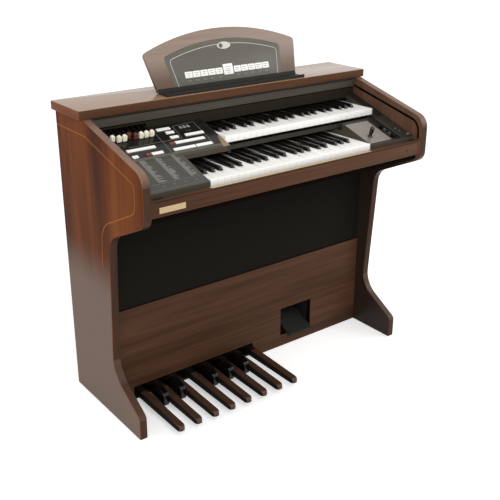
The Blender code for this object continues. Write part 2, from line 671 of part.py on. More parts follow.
def build_controls():
    """The sloping panels with their tabs, drawbars, lever and sliders."""
    y_split = Y_LOWER_KEYS + PANEL_SPLIT
    y_back = Y_LOWER_KEYS + PANEL_BACK
    z_tray = TRAY_BOTTOM + TRAY_THICKNESS + SEAT_GAP
    bed = KEY_BED_TOP + SEAT_GAP
    under_tray = TRAY_BOTTOM - SEAT_GAP
    y_rear = y_back + BLOCK_REAR
    left_edge = -X_BOARD
    left_inner = left_edge + LOWER_BLOCK_WIDTH
    right_inner = X_LOWER_KEYS + KEYBOARD_WIDTH + SEAT_GAP

    def lower_block(name, x_low, x_high, look):
        outline = [(Y_LOWER_KEYS, bed), (y_rear, bed), (y_rear, under_tray), (y_split, under_tray),
                   (y_split, panel_z(y_split)), (Y_LOWER_KEYS, Z_PANEL_FRONT)]
        block = soften(place(name, outline_mesh([outline], x_low, x_high, "YZ"), look), FINE_BEVEL)
        wall, y_in = PANEL_WALL, y_split - PANEL_WALL
        hollow = [(Y_LOWER_KEYS + wall, bed - CUT_OVERRUN), (y_rear - wall, bed - CUT_OVERRUN),
                  (y_rear - wall, under_tray - wall), (y_in, under_tray - wall),
                  (y_in, panel_z(y_in) - BLOCK_ROOF), (Y_LOWER_KEYS + wall, panel_z(Y_LOWER_KEYS + wall) - BLOCK_ROOF)]
        return combine(block, outline_mesh([hollow], x_low + wall, x_high - wall, "YZ"), "DIFFERENCE")

    lower_block("lower_left_panel", left_edge, left_inner, "grey")
    right = lower_block("right_end_block", right_inner, X_BOARD, "black")
    slot_x, slot_y = slider_place()
    half = SLIDER_SLOT[0] / 2
    slot = box_mesh((slot_x - half, slot_y - SLIDER_SLOT[1] / 2, -SLIDER_SLOT_DEPTH),
                    (slot_x + half, slot_y + SLIDER_SLOT[1] / 2, CUT_OVERRUN), PANEL_FRAME)
    lean = PANEL_FRAME.to_3x3().to_4x4()
    well = rod_mesh(lever_foot(), LEVER_BALL_RADIUS + PIN_CLEARANCE, 2 * LEVER_WELL_DEPTH, lean)
    combine(right, joined([slot, well]), "DIFFERENCE")

    upper_edge = X_UPPER_KEYS - CHEEK_WIDTH - 3 * SEAT_GAP
    y_front = y_split + SEAT_GAP
    upper = outline_mesh([panel_outline(y_front, y_back, z_tray)], left_edge, upper_edge, "YZ")
    upper = soften(place("upper_left_panel", upper, "black"), FINE_BEVEL)
    wall = PANEL_WALL
    hollow = panel_outline(y_front + wall, y_back - wall, z_tray - CUT_OVERRUN, TAB_ROOF)
    combine(upper, outline_mesh([hollow], left_edge + wall, upper_edge - wall, "YZ"), "DIFFERENCE")

    windows = []
    clear = PIN_CLEARANCE
    under = -TAB_ROOF - TAB_TRAVEL - TAB_CHASSIS_GAP
    for name, (left, right, rows) in TAB_BANKS.items():
        left, right = left - X_BOARD, right - X_BOARD
        spans = [bank_span(*row) for row in rows]
        tabs = []
        for low, high, front, back in spans:
            windows.append(box_mesh((low - clear, front - clear, -2 * TAB_ROOF),
                                    (high + clear, back + clear, CUT_OVERRUN), PANEL_FRAME))
            for index in range(round((high - low - TAB_SIZE[0]) / TAB_PITCH) + 1):
                x = low + index * TAB_PITCH
                tabs.append(box_mesh((x, front, under - TAB_CHASSIS / 2), (x + TAB_SIZE[0], back, TAB_STAND),
                                     PANEL_FRAME))
        fronts, backs = [span[2] for span in spans], [span[3] for span in spans]
        chassis = box_mesh((left, min(fronts) + FUSE, under - TAB_CHASSIS), (right, max(backs) - FUSE, under),
                           PANEL_FRAME)
        bank = place(name, chassis, "ivory", pivot=PANEL_FRAME @ Vector((left, min(fronts), 0)))
        strips = [box_mesh((low + 0.0005, front + 0.0015, under - TAB_CHASSIS * 0.8),
                           (high - 0.0005, back - 0.0015, under - TAB_CHASSIS * 0.1), PANEL_FRAME)
                  for low, high, front, back in spans]
        combine(bank, joined(strips), "UNION")
        combine(bank, joined(tabs), "UNION")
    combine(upper, joined(windows), "DIFFERENCE")

    y_knob = panel_y(Y_NOSE + DRAWBAR_SETBACK)
    for index, x in enumerate(drawbar_places()):
        width, depth, height = DRAWBAR_KNOB
        low, high = DRAWBAR_KNOB_STAND, DRAWBAR_KNOB_STAND + height
        arch = rounded([(x - width / 2, low), (x + width / 2, low), (x + width / 2, high, DRAWBAR_KNOB_ROUND),
                        (x - width / 2, high, DRAWBAR_KNOB_ROUND)])
        y_rest = y_knob + DRAWBAR_PUSHED_IN.get(index, 0.0)
        knob = outline_mesh([arch], y_rest - depth / 2, y_rest + depth / 2, "XZ")
        knob.transform(PANEL_FRAME)
        half = DRAWBAR_STEM[0] / 2
        end = panel_y(Y_NOSE + FASCIA_SETBACK + FASCIA_THICKNESS + DRAWBAR_STEM_BACK) + y_rest - y_knob
        stem = box_mesh((x - half, y_rest, DRAWBAR_STEM_STAND), (x + half, end, DRAWBAR_STEM_STAND + DRAWBAR_STEM[1]),
                        PANEL_FRAME)
        look = "brown_key" if index in (3, 4) else "cream"
        knob = place(f"drawbar_{index + 1}", knob, look, pivot=PANEL_FRAME @ Vector((x, y_rest, low)))
        combine(knob, stem, "UNION")

    foot = Vector(lever_foot())
    ball = bmesh.new()
    bmesh.ops.create_uvsphere(ball, u_segments=16, v_segments=8, radius=LEVER_BALL_RADIUS)
    bmesh.ops.translate(ball, vec=foot, verts=ball.verts)
    base = bpy.data.meshes.new("ball")
    ball.to_mesh(base)
    ball.free()
    lever = place("bend_lever", base, "ebony", pivot=foot)
    stick = rod_mesh(foot + Vector((0, 0, LEVER_LENGTH / 2)), LEVER_RADIUS, LEVER_LENGTH, "Z", 12,
                     top_radius=LEVER_TIP_RADIUS)
    combine(lever, stick, "UNION")

    knobs = []
    width, depth, height = SLIDER_KNOB
    low = SEAT_GAP - SLIDER_SLOT_DEPTH
    for place_y in (slot_y - SLIDER_SPACING / 2, slot_y + SLIDER_SPACING / 2):
        knobs.append(box_mesh((slot_x - width / 2, place_y - depth / 2, low),
                              (slot_x + width / 2, place_y + depth / 2, height), PANEL_FRAME))
    runner = SLIDER_SLOT[0] / 2 - SEAT_GAP
    reach = SLIDER_SPACING / 2 + depth / 2 - FUSE
    base = box_mesh((slot_x - runner, slot_y - reach, low + 0.0005),
                    (slot_x + runner, slot_y + reach, low + 0.0025), PANEL_FRAME)
    sliders = place("slider_knobs", base, "dark", pivot=PANEL_FRAME @ Vector((slot_x, slot_y, 0)))
    combine(sliders, joined(knobs), "UNION")


def slider_place():
    """Centre of the sliders' slot, across the cabinet and up the panel."""
    return X_LOWER_KEYS + KEYBOARD_WIDTH + SLIDER_PLACE[0], panel_y(Y_LOWER_KEYS + SLIDER_PLACE[1])


def lever_foot():
    """Where the lever stands on the right-hand panel."""
    y = Y_LOWER_KEYS + LEVER_PLACE[1]
    return X_LOWER_KEYS + KEYBOARD_WIDTH + LEVER_PLACE[0], y, panel_z(y)


def sharp_centres(first_x):
    """X of the middle of each sharp."""
    found = []
    for natural in range(NATURALS - 1):
        octave, degree = divmod(natural + FIRST_NATURAL, 7)
        if degree in SHARP_PLACES:
            found.append(first_x + (SHARP_PLACES[degree] + 7 * octave - FIRST_NATURAL) * KEY_PITCH)
    return found


def build_manual(prefix, first_x, y_front, z_top):
    """One manual: the naturals as notched outlines, and the sharps as tapered blocks between them."""
    sharps = sharp_centres(first_x)
    y_end = y_front + KEY_LENGTH
    y_notch = y_front + NATURAL_HEAD
    reach = SHARP_WIDTH / 2 + KEY_SIDE_GAP
    half_gap = KEY_SIDE_GAP / 2
    outlines = []
    for natural in range(NATURALS):
        low = first_x + natural * KEY_PITCH + half_gap
        high = first_x + (natural + 1) * KEY_PITCH - half_gap
        cuts = [x for x in sharps if low - reach < x < high + reach]
        tail_low = max([low] + [x + reach for x in cuts if x < (low + high) / 2])
        tail_high = min([high] + [x - reach for x in cuts if x > (low + high) / 2])
        outline = [(low, y_front), (high, y_front)]
        outline += [(high, y_notch), (tail_high, y_notch)] if tail_high < high else []
        outline += [(tail_high, y_end), (tail_low, y_end)]
        outline += [(tail_low, y_notch), (low, y_notch)] if tail_low > low else []
        outlines.append(outline)
    bottom = z_top - NATURAL_HEIGHT
    pivot = (first_x + KEYBOARD_WIDTH / 2, y_end - KEY_REAR_SEAT, bottom)
    spine = box_mesh((first_x + half_gap, y_end - KEY_SPINE, bottom + FUSE),
                     (first_x + KEYBOARD_WIDTH - half_gap, y_end + FUSE, z_top - FUSE))
    naturals = outline_mesh(outlines, bottom, z_top, "XY")
    combine(place(prefix + "_naturals", spine, "ivory", pivot=pivot), naturals, "UNION")

    blocks = []
    y_sharp_end = y_end - KEY_SPINE - SPINE_CLEARANCE
    for x in sharps:
        block = box_mesh((x - SHARP_WIDTH / 2, y_notch + SHARP_FRONT_GAP, bottom),
                         (x + SHARP_WIDTH / 2, y_sharp_end, z_top + SHARP_RISE))
        for vertex in block.vertices:
            if vertex.co.z > z_top:
                vertex.co.x = x + math.copysign(SHARP_TOP_WIDTH / 2, vertex.co.x - x)
                if vertex.co.y < y_sharp_end - FUSE:
                    vertex.co.y += SHARP_FRONT_SLOPE
        blocks.append(block)
    bar = box_mesh((sharps[0] - FUSE, y_end - KEY_REAR_SEAT, z_top + SPINE_CLEARANCE),
                   (sharps[-1] + FUSE, y_sharp_end - FUSE, z_top + SHARP_RISE - FUSE))
    combine(place(prefix + "_sharps", bar, "ebony", pivot=pivot), joined(blocks), "UNION")


def build_key_frames():
    """What carries the keys: a rail frame on the bed, and a tray for the upper manual."""
    bed = KEY_BED_TOP + SEAT_GAP
    y_end = Y_LOWER_KEYS + KEY_LENGTH
    inset = KEY_RAIL_INSET
    x_low, x_high = X_LOWER_KEYS + inset, X_LOWER_KEYS + KEYBOARD_WIDTH - inset
    lower_bottom = LOWER_KEY_TOP - NATURAL_HEIGHT - SEAT_GAP
    y_rail = Y_LOWER_KEYS + KEY_RAIL_SETBACK
    y_rail_back = y_rail + KEY_RAIL_DEPTH
    frame = outline_mesh([[
        (y_rail, bed), (y_end, bed), (y_end, lower_bottom), (y_end - KEY_REAR_SEAT, lower_bottom),
        (y_end - KEY_REAR_SEAT, bed + KEY_RAIL_FLOOR), (y_rail_back, bed + KEY_RAIL_FLOOR),
        (y_rail_back, lower_bottom - KEY_DIP - FOOT_GAP), (y_rail, lower_bottom - KEY_DIP - FOOT_GAP)]],
        x_low, x_high, "YZ")
    place("lower_key_frame", frame, "dark")

    y_end = Y_UPPER_KEYS + KEY_LENGTH
    top = TRAY_BOTTOM + TRAY_THICKNESS
    upper_bottom = UPPER_KEY_TOP - NATURAL_HEIGHT - SEAT_GAP
    y_tray = Y_UPPER_KEYS + TRAY_SETBACK
    x_high = X_UPPER_KEYS + KEYBOARD_WIDTH
    tray = box_mesh((-X_BOARD, y_tray, TRAY_BOTTOM), (X_BOARD, y_end, top))
    frame = place("upper_key_frame", tray, "dark")
    rear = box_mesh((X_UPPER_KEYS + inset, y_end - KEY_REAR_SEAT, top - 2 * FUSE),
                    (x_high - inset, y_end - FOOT_GAP, upper_bottom))
    front = box_mesh((X_UPPER_KEYS + inset, y_tray + TRAY_RAIL[0], top - 2 * FUSE),
                     (x_high - inset, y_tray + sum(TRAY_RAIL), upper_bottom - KEY_DIP - FOOT_GAP))
    y_cheek = Y_LOWER_KEYS + PANEL_SPLIT + SEAT_GAP
    y_back = Y_LOWER_KEYS + PANEL_BACK
    cheek = panel_outline(y_cheek, y_back, TRAY_BOTTOM + FUSE)
    left = outline_mesh([cheek], X_UPPER_KEYS - CHEEK_WIDTH - SEAT_GAP, X_UPPER_KEYS - SEAT_GAP, "YZ")
    right = outline_mesh([cheek], x_high + SEAT_GAP, X_BOARD, "YZ")
    combine(frame, joined([rear, front, left, right]), "UNION")


def build_lid():
    """The sliding lid: its lead bar with a pin in each groove, and the slatted curtain behind it."""
    y, z = Y_LID_PIN, Z_LID_PIN
    reach = X_BOARD - LID_SIDE_GAP
    bar = box_mesh((-reach, Y_LID_BAR, LID_BAR_BOTTOM), (reach, Y_LID_BAR + LID_BAR[0], LID_BAR_BOTTOM + LID_BAR[1]))
    bar = soften(place("lid_lead_bar", bar, "lid", pivot=(0, y, z)))
    pins = [rod_mesh((side * (X_INNER - LID_SIDE_GAP), y, z), LID_PIN_RADIUS, 2 * LID_PIN_REACH, "X", 12)
            for side in (-1, 1)]
    combine(bar, joined(pins), "UNION")

    start = Y_LID_BAR + LID_BAR[0] + TAMBOUR_GAP
    frame = Matrix.Translation((0, start, lid_z(start))) @ Matrix.Rotation(LID_ANGLE, 4, "X")
    half = TAMBOUR_THICKNESS / 2
    curtain = box_mesh((-reach, half * LID_SLOPE, -half), (reach, TAMBOUR_LENGTH, half), frame)
    place("lid_tambour", curtain, "dark", pivot=(0, y, z))


def rest_pin_places():
    return REST_CENTRE - REST_PIN_SPREAD, REST_CENTRE + REST_PIN_SPREAD


def rest_pin_y():
    """Y of the music rest's two pins, in the middle of its ledge."""
    return Y_NOSE + REST_SETBACK - LEDGE_DEPTH / 2


def build_music_rest():
    """The leaning arched board on its ledge, which lifts off with its two pins."""
    y_foot = Y_NOSE + REST_SETBACK
    z_foot = TOP_HEIGHT + SEAT_GAP
    rise = REST_ARCH_HEIGHT - REST_SIDE_HEIGHT
    radius = (REST_HALF_TOP ** 2 + rise ** 2) / (2 * rise)
    spread = math.asin(REST_HALF_TOP / radius)
    arch = []
    for step in range(1, REST_ARCH_STEPS):
        angle = spread * (1 - 2 * step / REST_ARCH_STEPS)
        arch.append((-radius * math.sin(angle), REST_ARCH_HEIGHT - radius + radius * math.cos(angle)))
    foot = REST_THICKNESS * math.tan(REST_LEAN)
    outline = rounded([(REST_HALF_BOTTOM, foot), (-REST_HALF_BOTTOM, foot),
                       (-REST_HALF_TOP, REST_SIDE_HEIGHT, REST_CORNER_RADIUS)]
                      + arch + [(REST_HALF_TOP, REST_SIDE_HEIGHT, REST_CORNER_RADIUS)])
    board = outline_mesh([outline], 0, REST_THICKNESS, "XZ")
    lean = Matrix.Translation((REST_CENTRE, y_foot, z_foot)) @ Matrix.Rotation(-REST_LEAN, 4, "X")
    board.transform(lean)
    soften(place("music_rest_board", board, "rest", pivot=(REST_CENTRE, y_foot, z_foot)))

    y_lip = y_foot - LEDGE_DEPTH
    lip, flange = LEDGE_LIP, LEDGE_FLANGE
    tilt = math.tan(REST_LEAN)
    gap = SEAT_GAP / math.cos(REST_LEAN)
    floor = LEDGE_FLOOR

    def face(z):
        """Y just in front of the leaning board at a height above the top."""
        return y_foot + z * tilt - gap
    outline = [(y_lip, 0), (face(0), 0), (face(flange[1]), flange[1]), (face(flange[1]) - flange[0], flange[1]),
               (face(floor) - flange[0], floor), (y_lip + lip[0], floor), (y_lip + lip[0], lip[1]), (y_lip, lip[1])]
    outline = [(y, z_foot + z) for y, z in outline]
    half = REST_HALF_BOTTOM - 0.002
    ledge = place("music_rest_ledge", outline_mesh([outline], REST_CENTRE - half, REST_CENTRE + half, "YZ"),
                  "ledge", pivot=(REST_CENTRE, y_foot, z_foot))
    pins = [rod_mesh((x, rest_pin_y(), z_foot - REST_PIN_LENGTH / 2 + FUSE), REST_PIN_RADIUS,
                     REST_PIN_LENGTH, "Z", ROUND_SEGMENTS) for x in rest_pin_places()]
    combine(ledge, joined(pins), "UNION")


PEDAL_NAMES = ["c1", "cs1", "d1", "ds1", "e1", "f1", "fs1", "g1", "gs1", "a1", "as1", "b1", "c2"]
PEDAL_PLACES = [0, 0.5, 1, 1.5, 2, 3, 3.5, 4, 4.5, 5, 5.5, 6, 7]


def pedal_hook():
    """The rear end of a pedal, hooked over the axle from above."""
    radius = PEDAL_AXLE_RADIUS + SEAT_GAP
    low, high = PEDAL_BOTTOM, PEDAL_BOTTOM + PEDAL_HEIGHT
    arc = []
    for step in range(9):
        angle = math.pi * step / 8
        arc.append((Y_AXLE + radius * math.cos(angle), PEDAL_AXLE_HEIGHT + radius * math.sin(angle)))
    y_tail = Y_AXLE + PEDAL_TAIL
    return [(y_tail, high), (y_tail, low), (Y_AXLE + radius, low)] + arc + [(Y_AXLE - radius, low)]


def natural_pedal():
    """Side view of a long pedal with a rounded, dropping nose."""
    y_nose = Y_NOSE + PEDAL_NOSE_SETBACK
    low, high = PEDAL_BOTTOM, PEDAL_BOTTOM + PEDAL_HEIGHT
    return rounded(pedal_hook() + [(y_nose + PEDAL_CHIN[0], low, PEDAL_CHIN_RADIUS), (y_nose, low + PEDAL_CHIN[1]),
                                   (y_nose, high - PEDAL_NOSE_DROP, PEDAL_NOSE_RADIUS),
                                   (y_nose + PEDAL_CREST_SETBACK, high)])


def sharp_pedal():
    """Side view of a short pedal with its raised block in front of the panel."""
    y_front = Y_NOSE + PEDAL_SHARP_SETBACK
    y_back = Y_PANEL - PEDAL_SHARP_CREST_GAP
    return rounded(pedal_hook() + [(Y_PANEL - PEDAL_SHARP_BELLY, PEDAL_BOTTOM),
                                   (y_front, PEDAL_BOTTOM + PEDAL_SHARP_RISE),
                                   (y_front, PEDAL_SHARP_FRONT_TOP, PEDAL_SHARP_NOSE_RADIUS),
                                   (y_back, PEDAL_SHARP_TOP, PEDAL_SHARP_CREST_RADIUS),
                                   (Y_PANEL - PEDAL_SHARP_HEEL, PEDAL_BOTTOM + PEDAL_HEIGHT)])


def build_pedals():
    """Thirteen pedals on one axle, and the frame that holds them."""
    for name, step in zip(PEDAL_NAMES, PEDAL_PLACES):
        x = PEDAL_FIRST_X + step * PEDAL_PITCH
        raised = name.rstrip("12").endswith("s")
        width = PEDAL_SHARP_WIDTH if raised else PEDAL_WIDTH
        outline = sharp_pedal() if raised else natural_pedal()
        mesh = outline_mesh([outline], x - width / 2, x + width / 2, "YZ")
        piece = place("pedal_" + name, mesh, "ebony" if raised else "pedal", pivot=(x, Y_AXLE, PEDAL_AXLE_HEIGHT))
        soften(piece, WIDE_BEVEL)

    edge = PEDAL_WIDTH / 2 + PEDAL_OPENING_MARGIN
    x_low, x_high = PEDAL_FIRST_X - edge, PEDAL_FIRST_X + 7 * PEDAL_PITCH + edge
    wall = PEDAL_FRAME_WALL
    y_front = Y_PANEL + LOWER_PANEL_THICKNESS + SEAT_GAP
    y_rear = Y_AXLE + PEDAL_FRAME_TAIL
    rail = PEDAL_BOTTOM + PEDAL_HEIGHT + PEDAL_RAIL_GAP
    frame = place("pedal_frame", box_mesh((x_low - wall, y_front, 0), (x_high + wall, y_rear, PEDAL_FRAME_FLOOR)),
                  "dark")
    cheeks = [box_mesh((x + FUSE / 2, y_front + FUSE, 2 * FUSE), (x + wall - FUSE / 2, y_rear - 2 * FUSE, PEDAL_CHEEK_TOP))
              for x in (x_low - wall, x_high)]
    combine(frame, joined(cheeks), "UNION")
    gap, depth, height = PEDAL_BACK_STOP
    stop = box_mesh((x_low - 2 * FUSE, y_rear - depth, FUSE), (x_high + 2 * FUSE, y_rear - gap, height))
    combine(frame, stop, "UNION")
    bars = [box_mesh((x_low - 2 * FUSE, y_front + PEDAL_RAIL[0], rail),
                     (x_high + 2 * FUSE, y_front + PEDAL_RAIL[1], PEDAL_CHEEK_TOP - 2 * FUSE)),
            rod_mesh(((x_low + x_high) / 2, Y_AXLE, PEDAL_AXLE_HEIGHT), PEDAL_AXLE_RADIUS, x_high - x_low + wall, "X")]
    combine(frame, joined(bars), "UNION")


def build_treadle():
    """The expression pedal: a tilting plate on an axle, in a box behind the panel."""
    left, bottom = TREADLE_OPENING_LEFT, TREADLE_OPENING_BOTTOM
    width, height = TREADLE_OPENING
    wall = TREADLE_WALL
    y_open = Y_PANEL + LOWER_PANEL_THICKNESS + SEAT_GAP
    housing = place("treadle_housing", box_mesh((left - wall, y_open, bottom - wall),
                                                (left + width + wall, y_open + TREADLE_BOX_DEPTH,
                                                 bottom + height + wall)), "dark")
    combine(housing, box_mesh((left, y_open - CUT_OVERRUN, bottom),
                              (left + width, y_open + TREADLE_BOX_DEPTH - wall, bottom + height)), "DIFFERENCE")
    middle = left + width / 2
    axle = (middle, y_open + TREADLE_AXLE_DEPTH, TREADLE_AXLE_HEIGHT)
    hole = rod_mesh(axle, TREADLE_AXLE_RADIUS + SEAT_GAP, width + 4 * wall, "X")
    combine(housing, hole, "DIFFERENCE")

    plate_width, thick = TREADLE_PLATE
    run = TREADLE_BOX_DEPTH - wall - TREADLE_AXLE_DEPTH - TREADLE_TIP_GAP
    reach = math.hypot(run, TREADLE_RISE)
    tilt = Matrix.Translation(axle) @ Matrix.Rotation(math.atan2(TREADLE_RISE, run), 4, "X")
    shift = TREADLE_PLATE_SHIFT
    plate = box_mesh((shift - plate_width / 2, -reach, FUSE), (shift + plate_width / 2, reach, FUSE + thick), tilt)
    treadle = soften(place("treadle", plate, "rubber", pivot=axle), WIDE_BEVEL)
    rod = rod_mesh(axle, TREADLE_AXLE_RADIUS, width + 1.5 * wall, "X")
    combine(treadle, rod, "UNION")


def turned(profile, centre, name, look, segments):
    """A turned piece about a line along Y, from a half profile of radius and depth."""
    curve = bpy.data.meshes.new(name)
    curve.from_pydata([(radius, 0, -depth) for radius, depth in profile],
                      [(index, index + 1) for index in range(len(profile) - 1)], [])
    piece = place(name, curve, look)
    screw = piece.modifiers.new("Turn", "SCREW")
    screw.axis = "Z"
    screw.steps = segments
    screw.render_steps = segments
    screw.use_merge_vertices = True
    screw.merge_threshold = 0.00005
    piece.rotation_euler = (math.radians(90), 0, 0)
    piece.location = centre
    return piece


def build_inside():
    """What the cabinet holds: the loudspeaker, the amplifier and the mains inlet."""
    y_baffle = Y_PANEL + CLOTH_RECESS + CLOTH_THICKNESS + BAFFLE_THICKNESS + 2 * SEAT_GAP
    magnet = WOOFER_RADIUS * WOOFER_MAGNET_SHARE
    cone = magnet * WOOFER_CONE_SHARE
    basket = WOOFER_DEPTH * WOOFER_BASKET_SHARE
    profile = [(0.0, WOOFER_CAP), (cone, WOOFER_CONE), (WOOFER_RADIUS * WOOFER_EDGE_SHARE, 0.0), (WOOFER_RADIUS, 0.0),
               (WOOFER_RADIUS, WOOFER_RIM), (magnet, basket), (magnet, WOOFER_DEPTH), (0.0, WOOFER_DEPTH)]
    turned(profile, (WOOFER_CENTRE[0], y_baffle, WOOFER_CENTRE[1]), "woofer", "steel", WOOFER_SEGMENTS)

    width, depth, height = AMPLIFIER_SIZE
    y_high = Y_BACK_PANEL - SEAT_GAP
    chassis = place("amplifier", box_mesh((AMPLIFIER_LEFT, y_high - depth, AMPLIFIER_BOTTOM),
                                          (AMPLIFIER_LEFT + width, y_high, AMPLIFIER_BOTTOM + height)), "steel")
    fins = []
    for index in range(FIN_COUNT):
        x = AMPLIFIER_LEFT + FIN_INSET + index * FIN_PITCH
        fins.append(box_mesh((x, y_high - depth - CUT_OVERRUN, AMPLIFIER_BOTTOM + FIN_FLOOR),
                             (x + FIN_SLOT[0], y_high - depth + FIN_SLOT[1], AMPLIFIER_BOTTOM + height + CUT_OVERRUN)))
    combine(chassis, joined(fins), "DIFFERENCE")

    x, z = INLET_CENTRE
    width, depth, height = INLET_SIZE
    inlet = place("mains_inlet", box_mesh((x - width / 2, Y_BACK - depth, z - height / 2),
                                          (x + width / 2, Y_BACK + INLET_STAND, z + height / 2)), "rubber")
    wall = INLET_WALL
    well = box_mesh((x - width / 2 + wall, Y_BACK - depth + INLET_FLOOR, z - height / 2 + wall),
                    (x + width / 2 - wall, Y_BACK + CUT_OVERRUN, z + height / 2 - wall))
    combine(inlet, well, "DIFFERENCE")


build_cabinet()
build_controls()
build_manual("lower", X_LOWER_KEYS, Y_LOWER_KEYS, LOWER_KEY_TOP)
build_manual("upper", X_UPPER_KEYS, Y_UPPER_KEYS, UPPER_KEY_TOP)
build_key_frames()
build_lid()
build_music_rest()
build_pedals()
build_treadle()
build_inside()
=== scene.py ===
# %% [markdown]
# # Dressing an electronic organ
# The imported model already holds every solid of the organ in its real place, in metres: the case, two
# manuals of keys, the pedals, the lid and the music rest. This lesson gives each of them its finish.
# We load the model, set up the camera and the light, write a few numpy functions that make surfaces,
# and then work through the organ from the case to the small things on its panels.

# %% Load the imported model
import math

import bmesh
import bpy
import numpy as np
from mathutils import Matrix, Vector


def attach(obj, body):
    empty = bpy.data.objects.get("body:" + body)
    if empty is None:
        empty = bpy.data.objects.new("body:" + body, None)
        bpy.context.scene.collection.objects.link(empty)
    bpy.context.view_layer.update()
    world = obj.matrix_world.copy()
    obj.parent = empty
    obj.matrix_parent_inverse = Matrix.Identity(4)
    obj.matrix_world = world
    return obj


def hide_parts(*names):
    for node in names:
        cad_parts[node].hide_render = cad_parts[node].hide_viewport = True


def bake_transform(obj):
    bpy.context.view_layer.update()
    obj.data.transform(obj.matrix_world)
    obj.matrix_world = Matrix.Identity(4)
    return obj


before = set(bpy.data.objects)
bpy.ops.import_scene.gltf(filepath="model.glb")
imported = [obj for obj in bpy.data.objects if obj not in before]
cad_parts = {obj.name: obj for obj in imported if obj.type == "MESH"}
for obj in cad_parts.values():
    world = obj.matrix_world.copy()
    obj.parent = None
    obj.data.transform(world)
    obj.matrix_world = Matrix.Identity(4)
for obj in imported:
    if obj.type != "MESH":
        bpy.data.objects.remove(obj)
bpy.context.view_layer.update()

# %% [markdown]
# ## The camera
# The photograph was taken from the left of the organ and a little above it. The place, the turn and the
# lens were worked out from the corners of the case and the keys. A camera looks along its own -Z, so
# its matrix has the right, up and backward directions as columns.

# %% Camera
CAMERA_PLACE = (-1.4853, -1.9254, 1.4396)
RIGHT = (0.79686, -0.60417, 0.00101)
UP = (0.22123, 0.29334, 0.93006)
FORWARD = (0.56221, 0.74090, -0.36741)
scene = bpy.context.scene
lens = bpy.data.cameras.new("camera")
lens.lens = 57.97
lens.sensor_width = 36.0
lens.shift_x = 0.0101
lens.shift_y = -0.0350
camera = bpy.data.objects.new("camera", lens)
scene.collection.objects.link(camera)
turn = Matrix((RIGHT, UP, tuple(-value for value in FORWARD))).transposed().to_4x4()
camera.matrix_world = Matrix.Translation(CAMERA_PLACE) @ turn
scene.camera = camera
print("camera:", CAMERA_PLACE, "lens:", round(lens.lens, 2), "mm")

# %% [markdown]
# ## Shader nodes
# The light and every finish are small networks of nodes. One helper makes a node and fills its inputs,
# either with a plain value or with the output of another node.

# %% Node helpers
def add_node(tree, kind, inputs, **settings):
    """A shader node: each input is set to its value, or linked where an output is given."""
    made = tree.nodes.new("ShaderNode" + kind)
    for name, value in settings.items():
        setattr(made, name, value)
    for key, value in inputs.items():
        if isinstance(value, bpy.types.NodeSocket):
            tree.links.new(value, made.inputs[key])
        else:
            made.inputs[key].default_value = value
    return made


def math_of(tree, operation, *values):
    """The result of a maths node. Each value is a number or an output."""
    return add_node(tree, "Math", dict(enumerate(values)), operation=operation).outputs[0]


def object_place(tree):
    """The output that gives each point's place in the object's own coordinates."""
    return add_node(tree, "TexCoord", {}).outputs["Object"]


def seen_rays(tree):
    """An output that is 1 for camera, mirror and glass rays, and 0 for the rays that light things."""
    path = add_node(tree, "LightPath", {})
    mirror_or_glass = math_of(tree, "MAXIMUM", path.outputs["Is Glossy Ray"],
                              path.outputs["Is Transmission Ray"])
    return math_of(tree, "MAXIMUM", path.outputs["Is Camera Ray"], mirror_or_glass)


# %% [markdown]
# ## Light
# Furniture is photographed in wide soft light. The world gives an even level from every side, which
# keeps colours close to how they are written, and one broad lamp from the front left with a weaker one
# from the right give the case its shape. Camera, mirror and glass rays see plain white instead of the
# world's lighting level, so the lacquer reflects the same pale room that stands behind the organ.

# %% World and lamps
scene.view_settings.view_transform = "Standard"
world = bpy.data.worlds.new("studio")
scene.world = world
world.use_nodes = True
WORLD_LEVEL, MIDDLE_OF_ORGAN, LAMP_SIZE = 0.72, (0, 0, 0.6), 2.0
sky = world.node_tree
sky.nodes.clear()
level = add_node(sky, "Background", {"Color": (1.0, 0.99, 0.98, 1.0), "Strength": WORLD_LEVEL})
seen = add_node(sky, "Background", {"Color": (1.0, 1.0, 1.0, 1.0), "Strength": 1.0})
mix = add_node(sky, "MixShader", {0: seen_rays(sky), 1: level.outputs[0], 2: seen.outputs[0]})
add_node(sky, "OutputWorld", {0: mix.outputs[0]})


def soft_lamp(name, place, power):
    """A square area lamp that faces the middle of the organ."""
    light = bpy.data.lights.new(name, "AREA")
    light.size = LAMP_SIZE
    light.energy = power
    lamp = bpy.data.objects.new(name, light)
    lamp.location = place
    lamp.rotation_euler = (Vector(MIDDLE_OF_ORGAN) - Vector(place)).to_track_quat("-Z", "Y").to_euler()
    scene.collection.objects.link(lamp)
    print(name, power, "W from", place)


soft_lamp("key_light", (-1.3, -3.2, 3.0), 66.0)
soft_lamp("fill_light", (2.8, -1.8, 2.2), 22.0)

# %% [markdown]
# ## Surfaces from arrays
# Nearly everything on an organ is sawn or moulded to a flat outline and then has its edges rounded.
# A modelling package offers a bevel for this. Here the rounding is worked out directly: the outline is
# repeated as rings, each drawn in a little and moved a little deeper along a quarter circle, so the
# whole edge is one array of points. The same array idea makes tapered keys and thin strips.

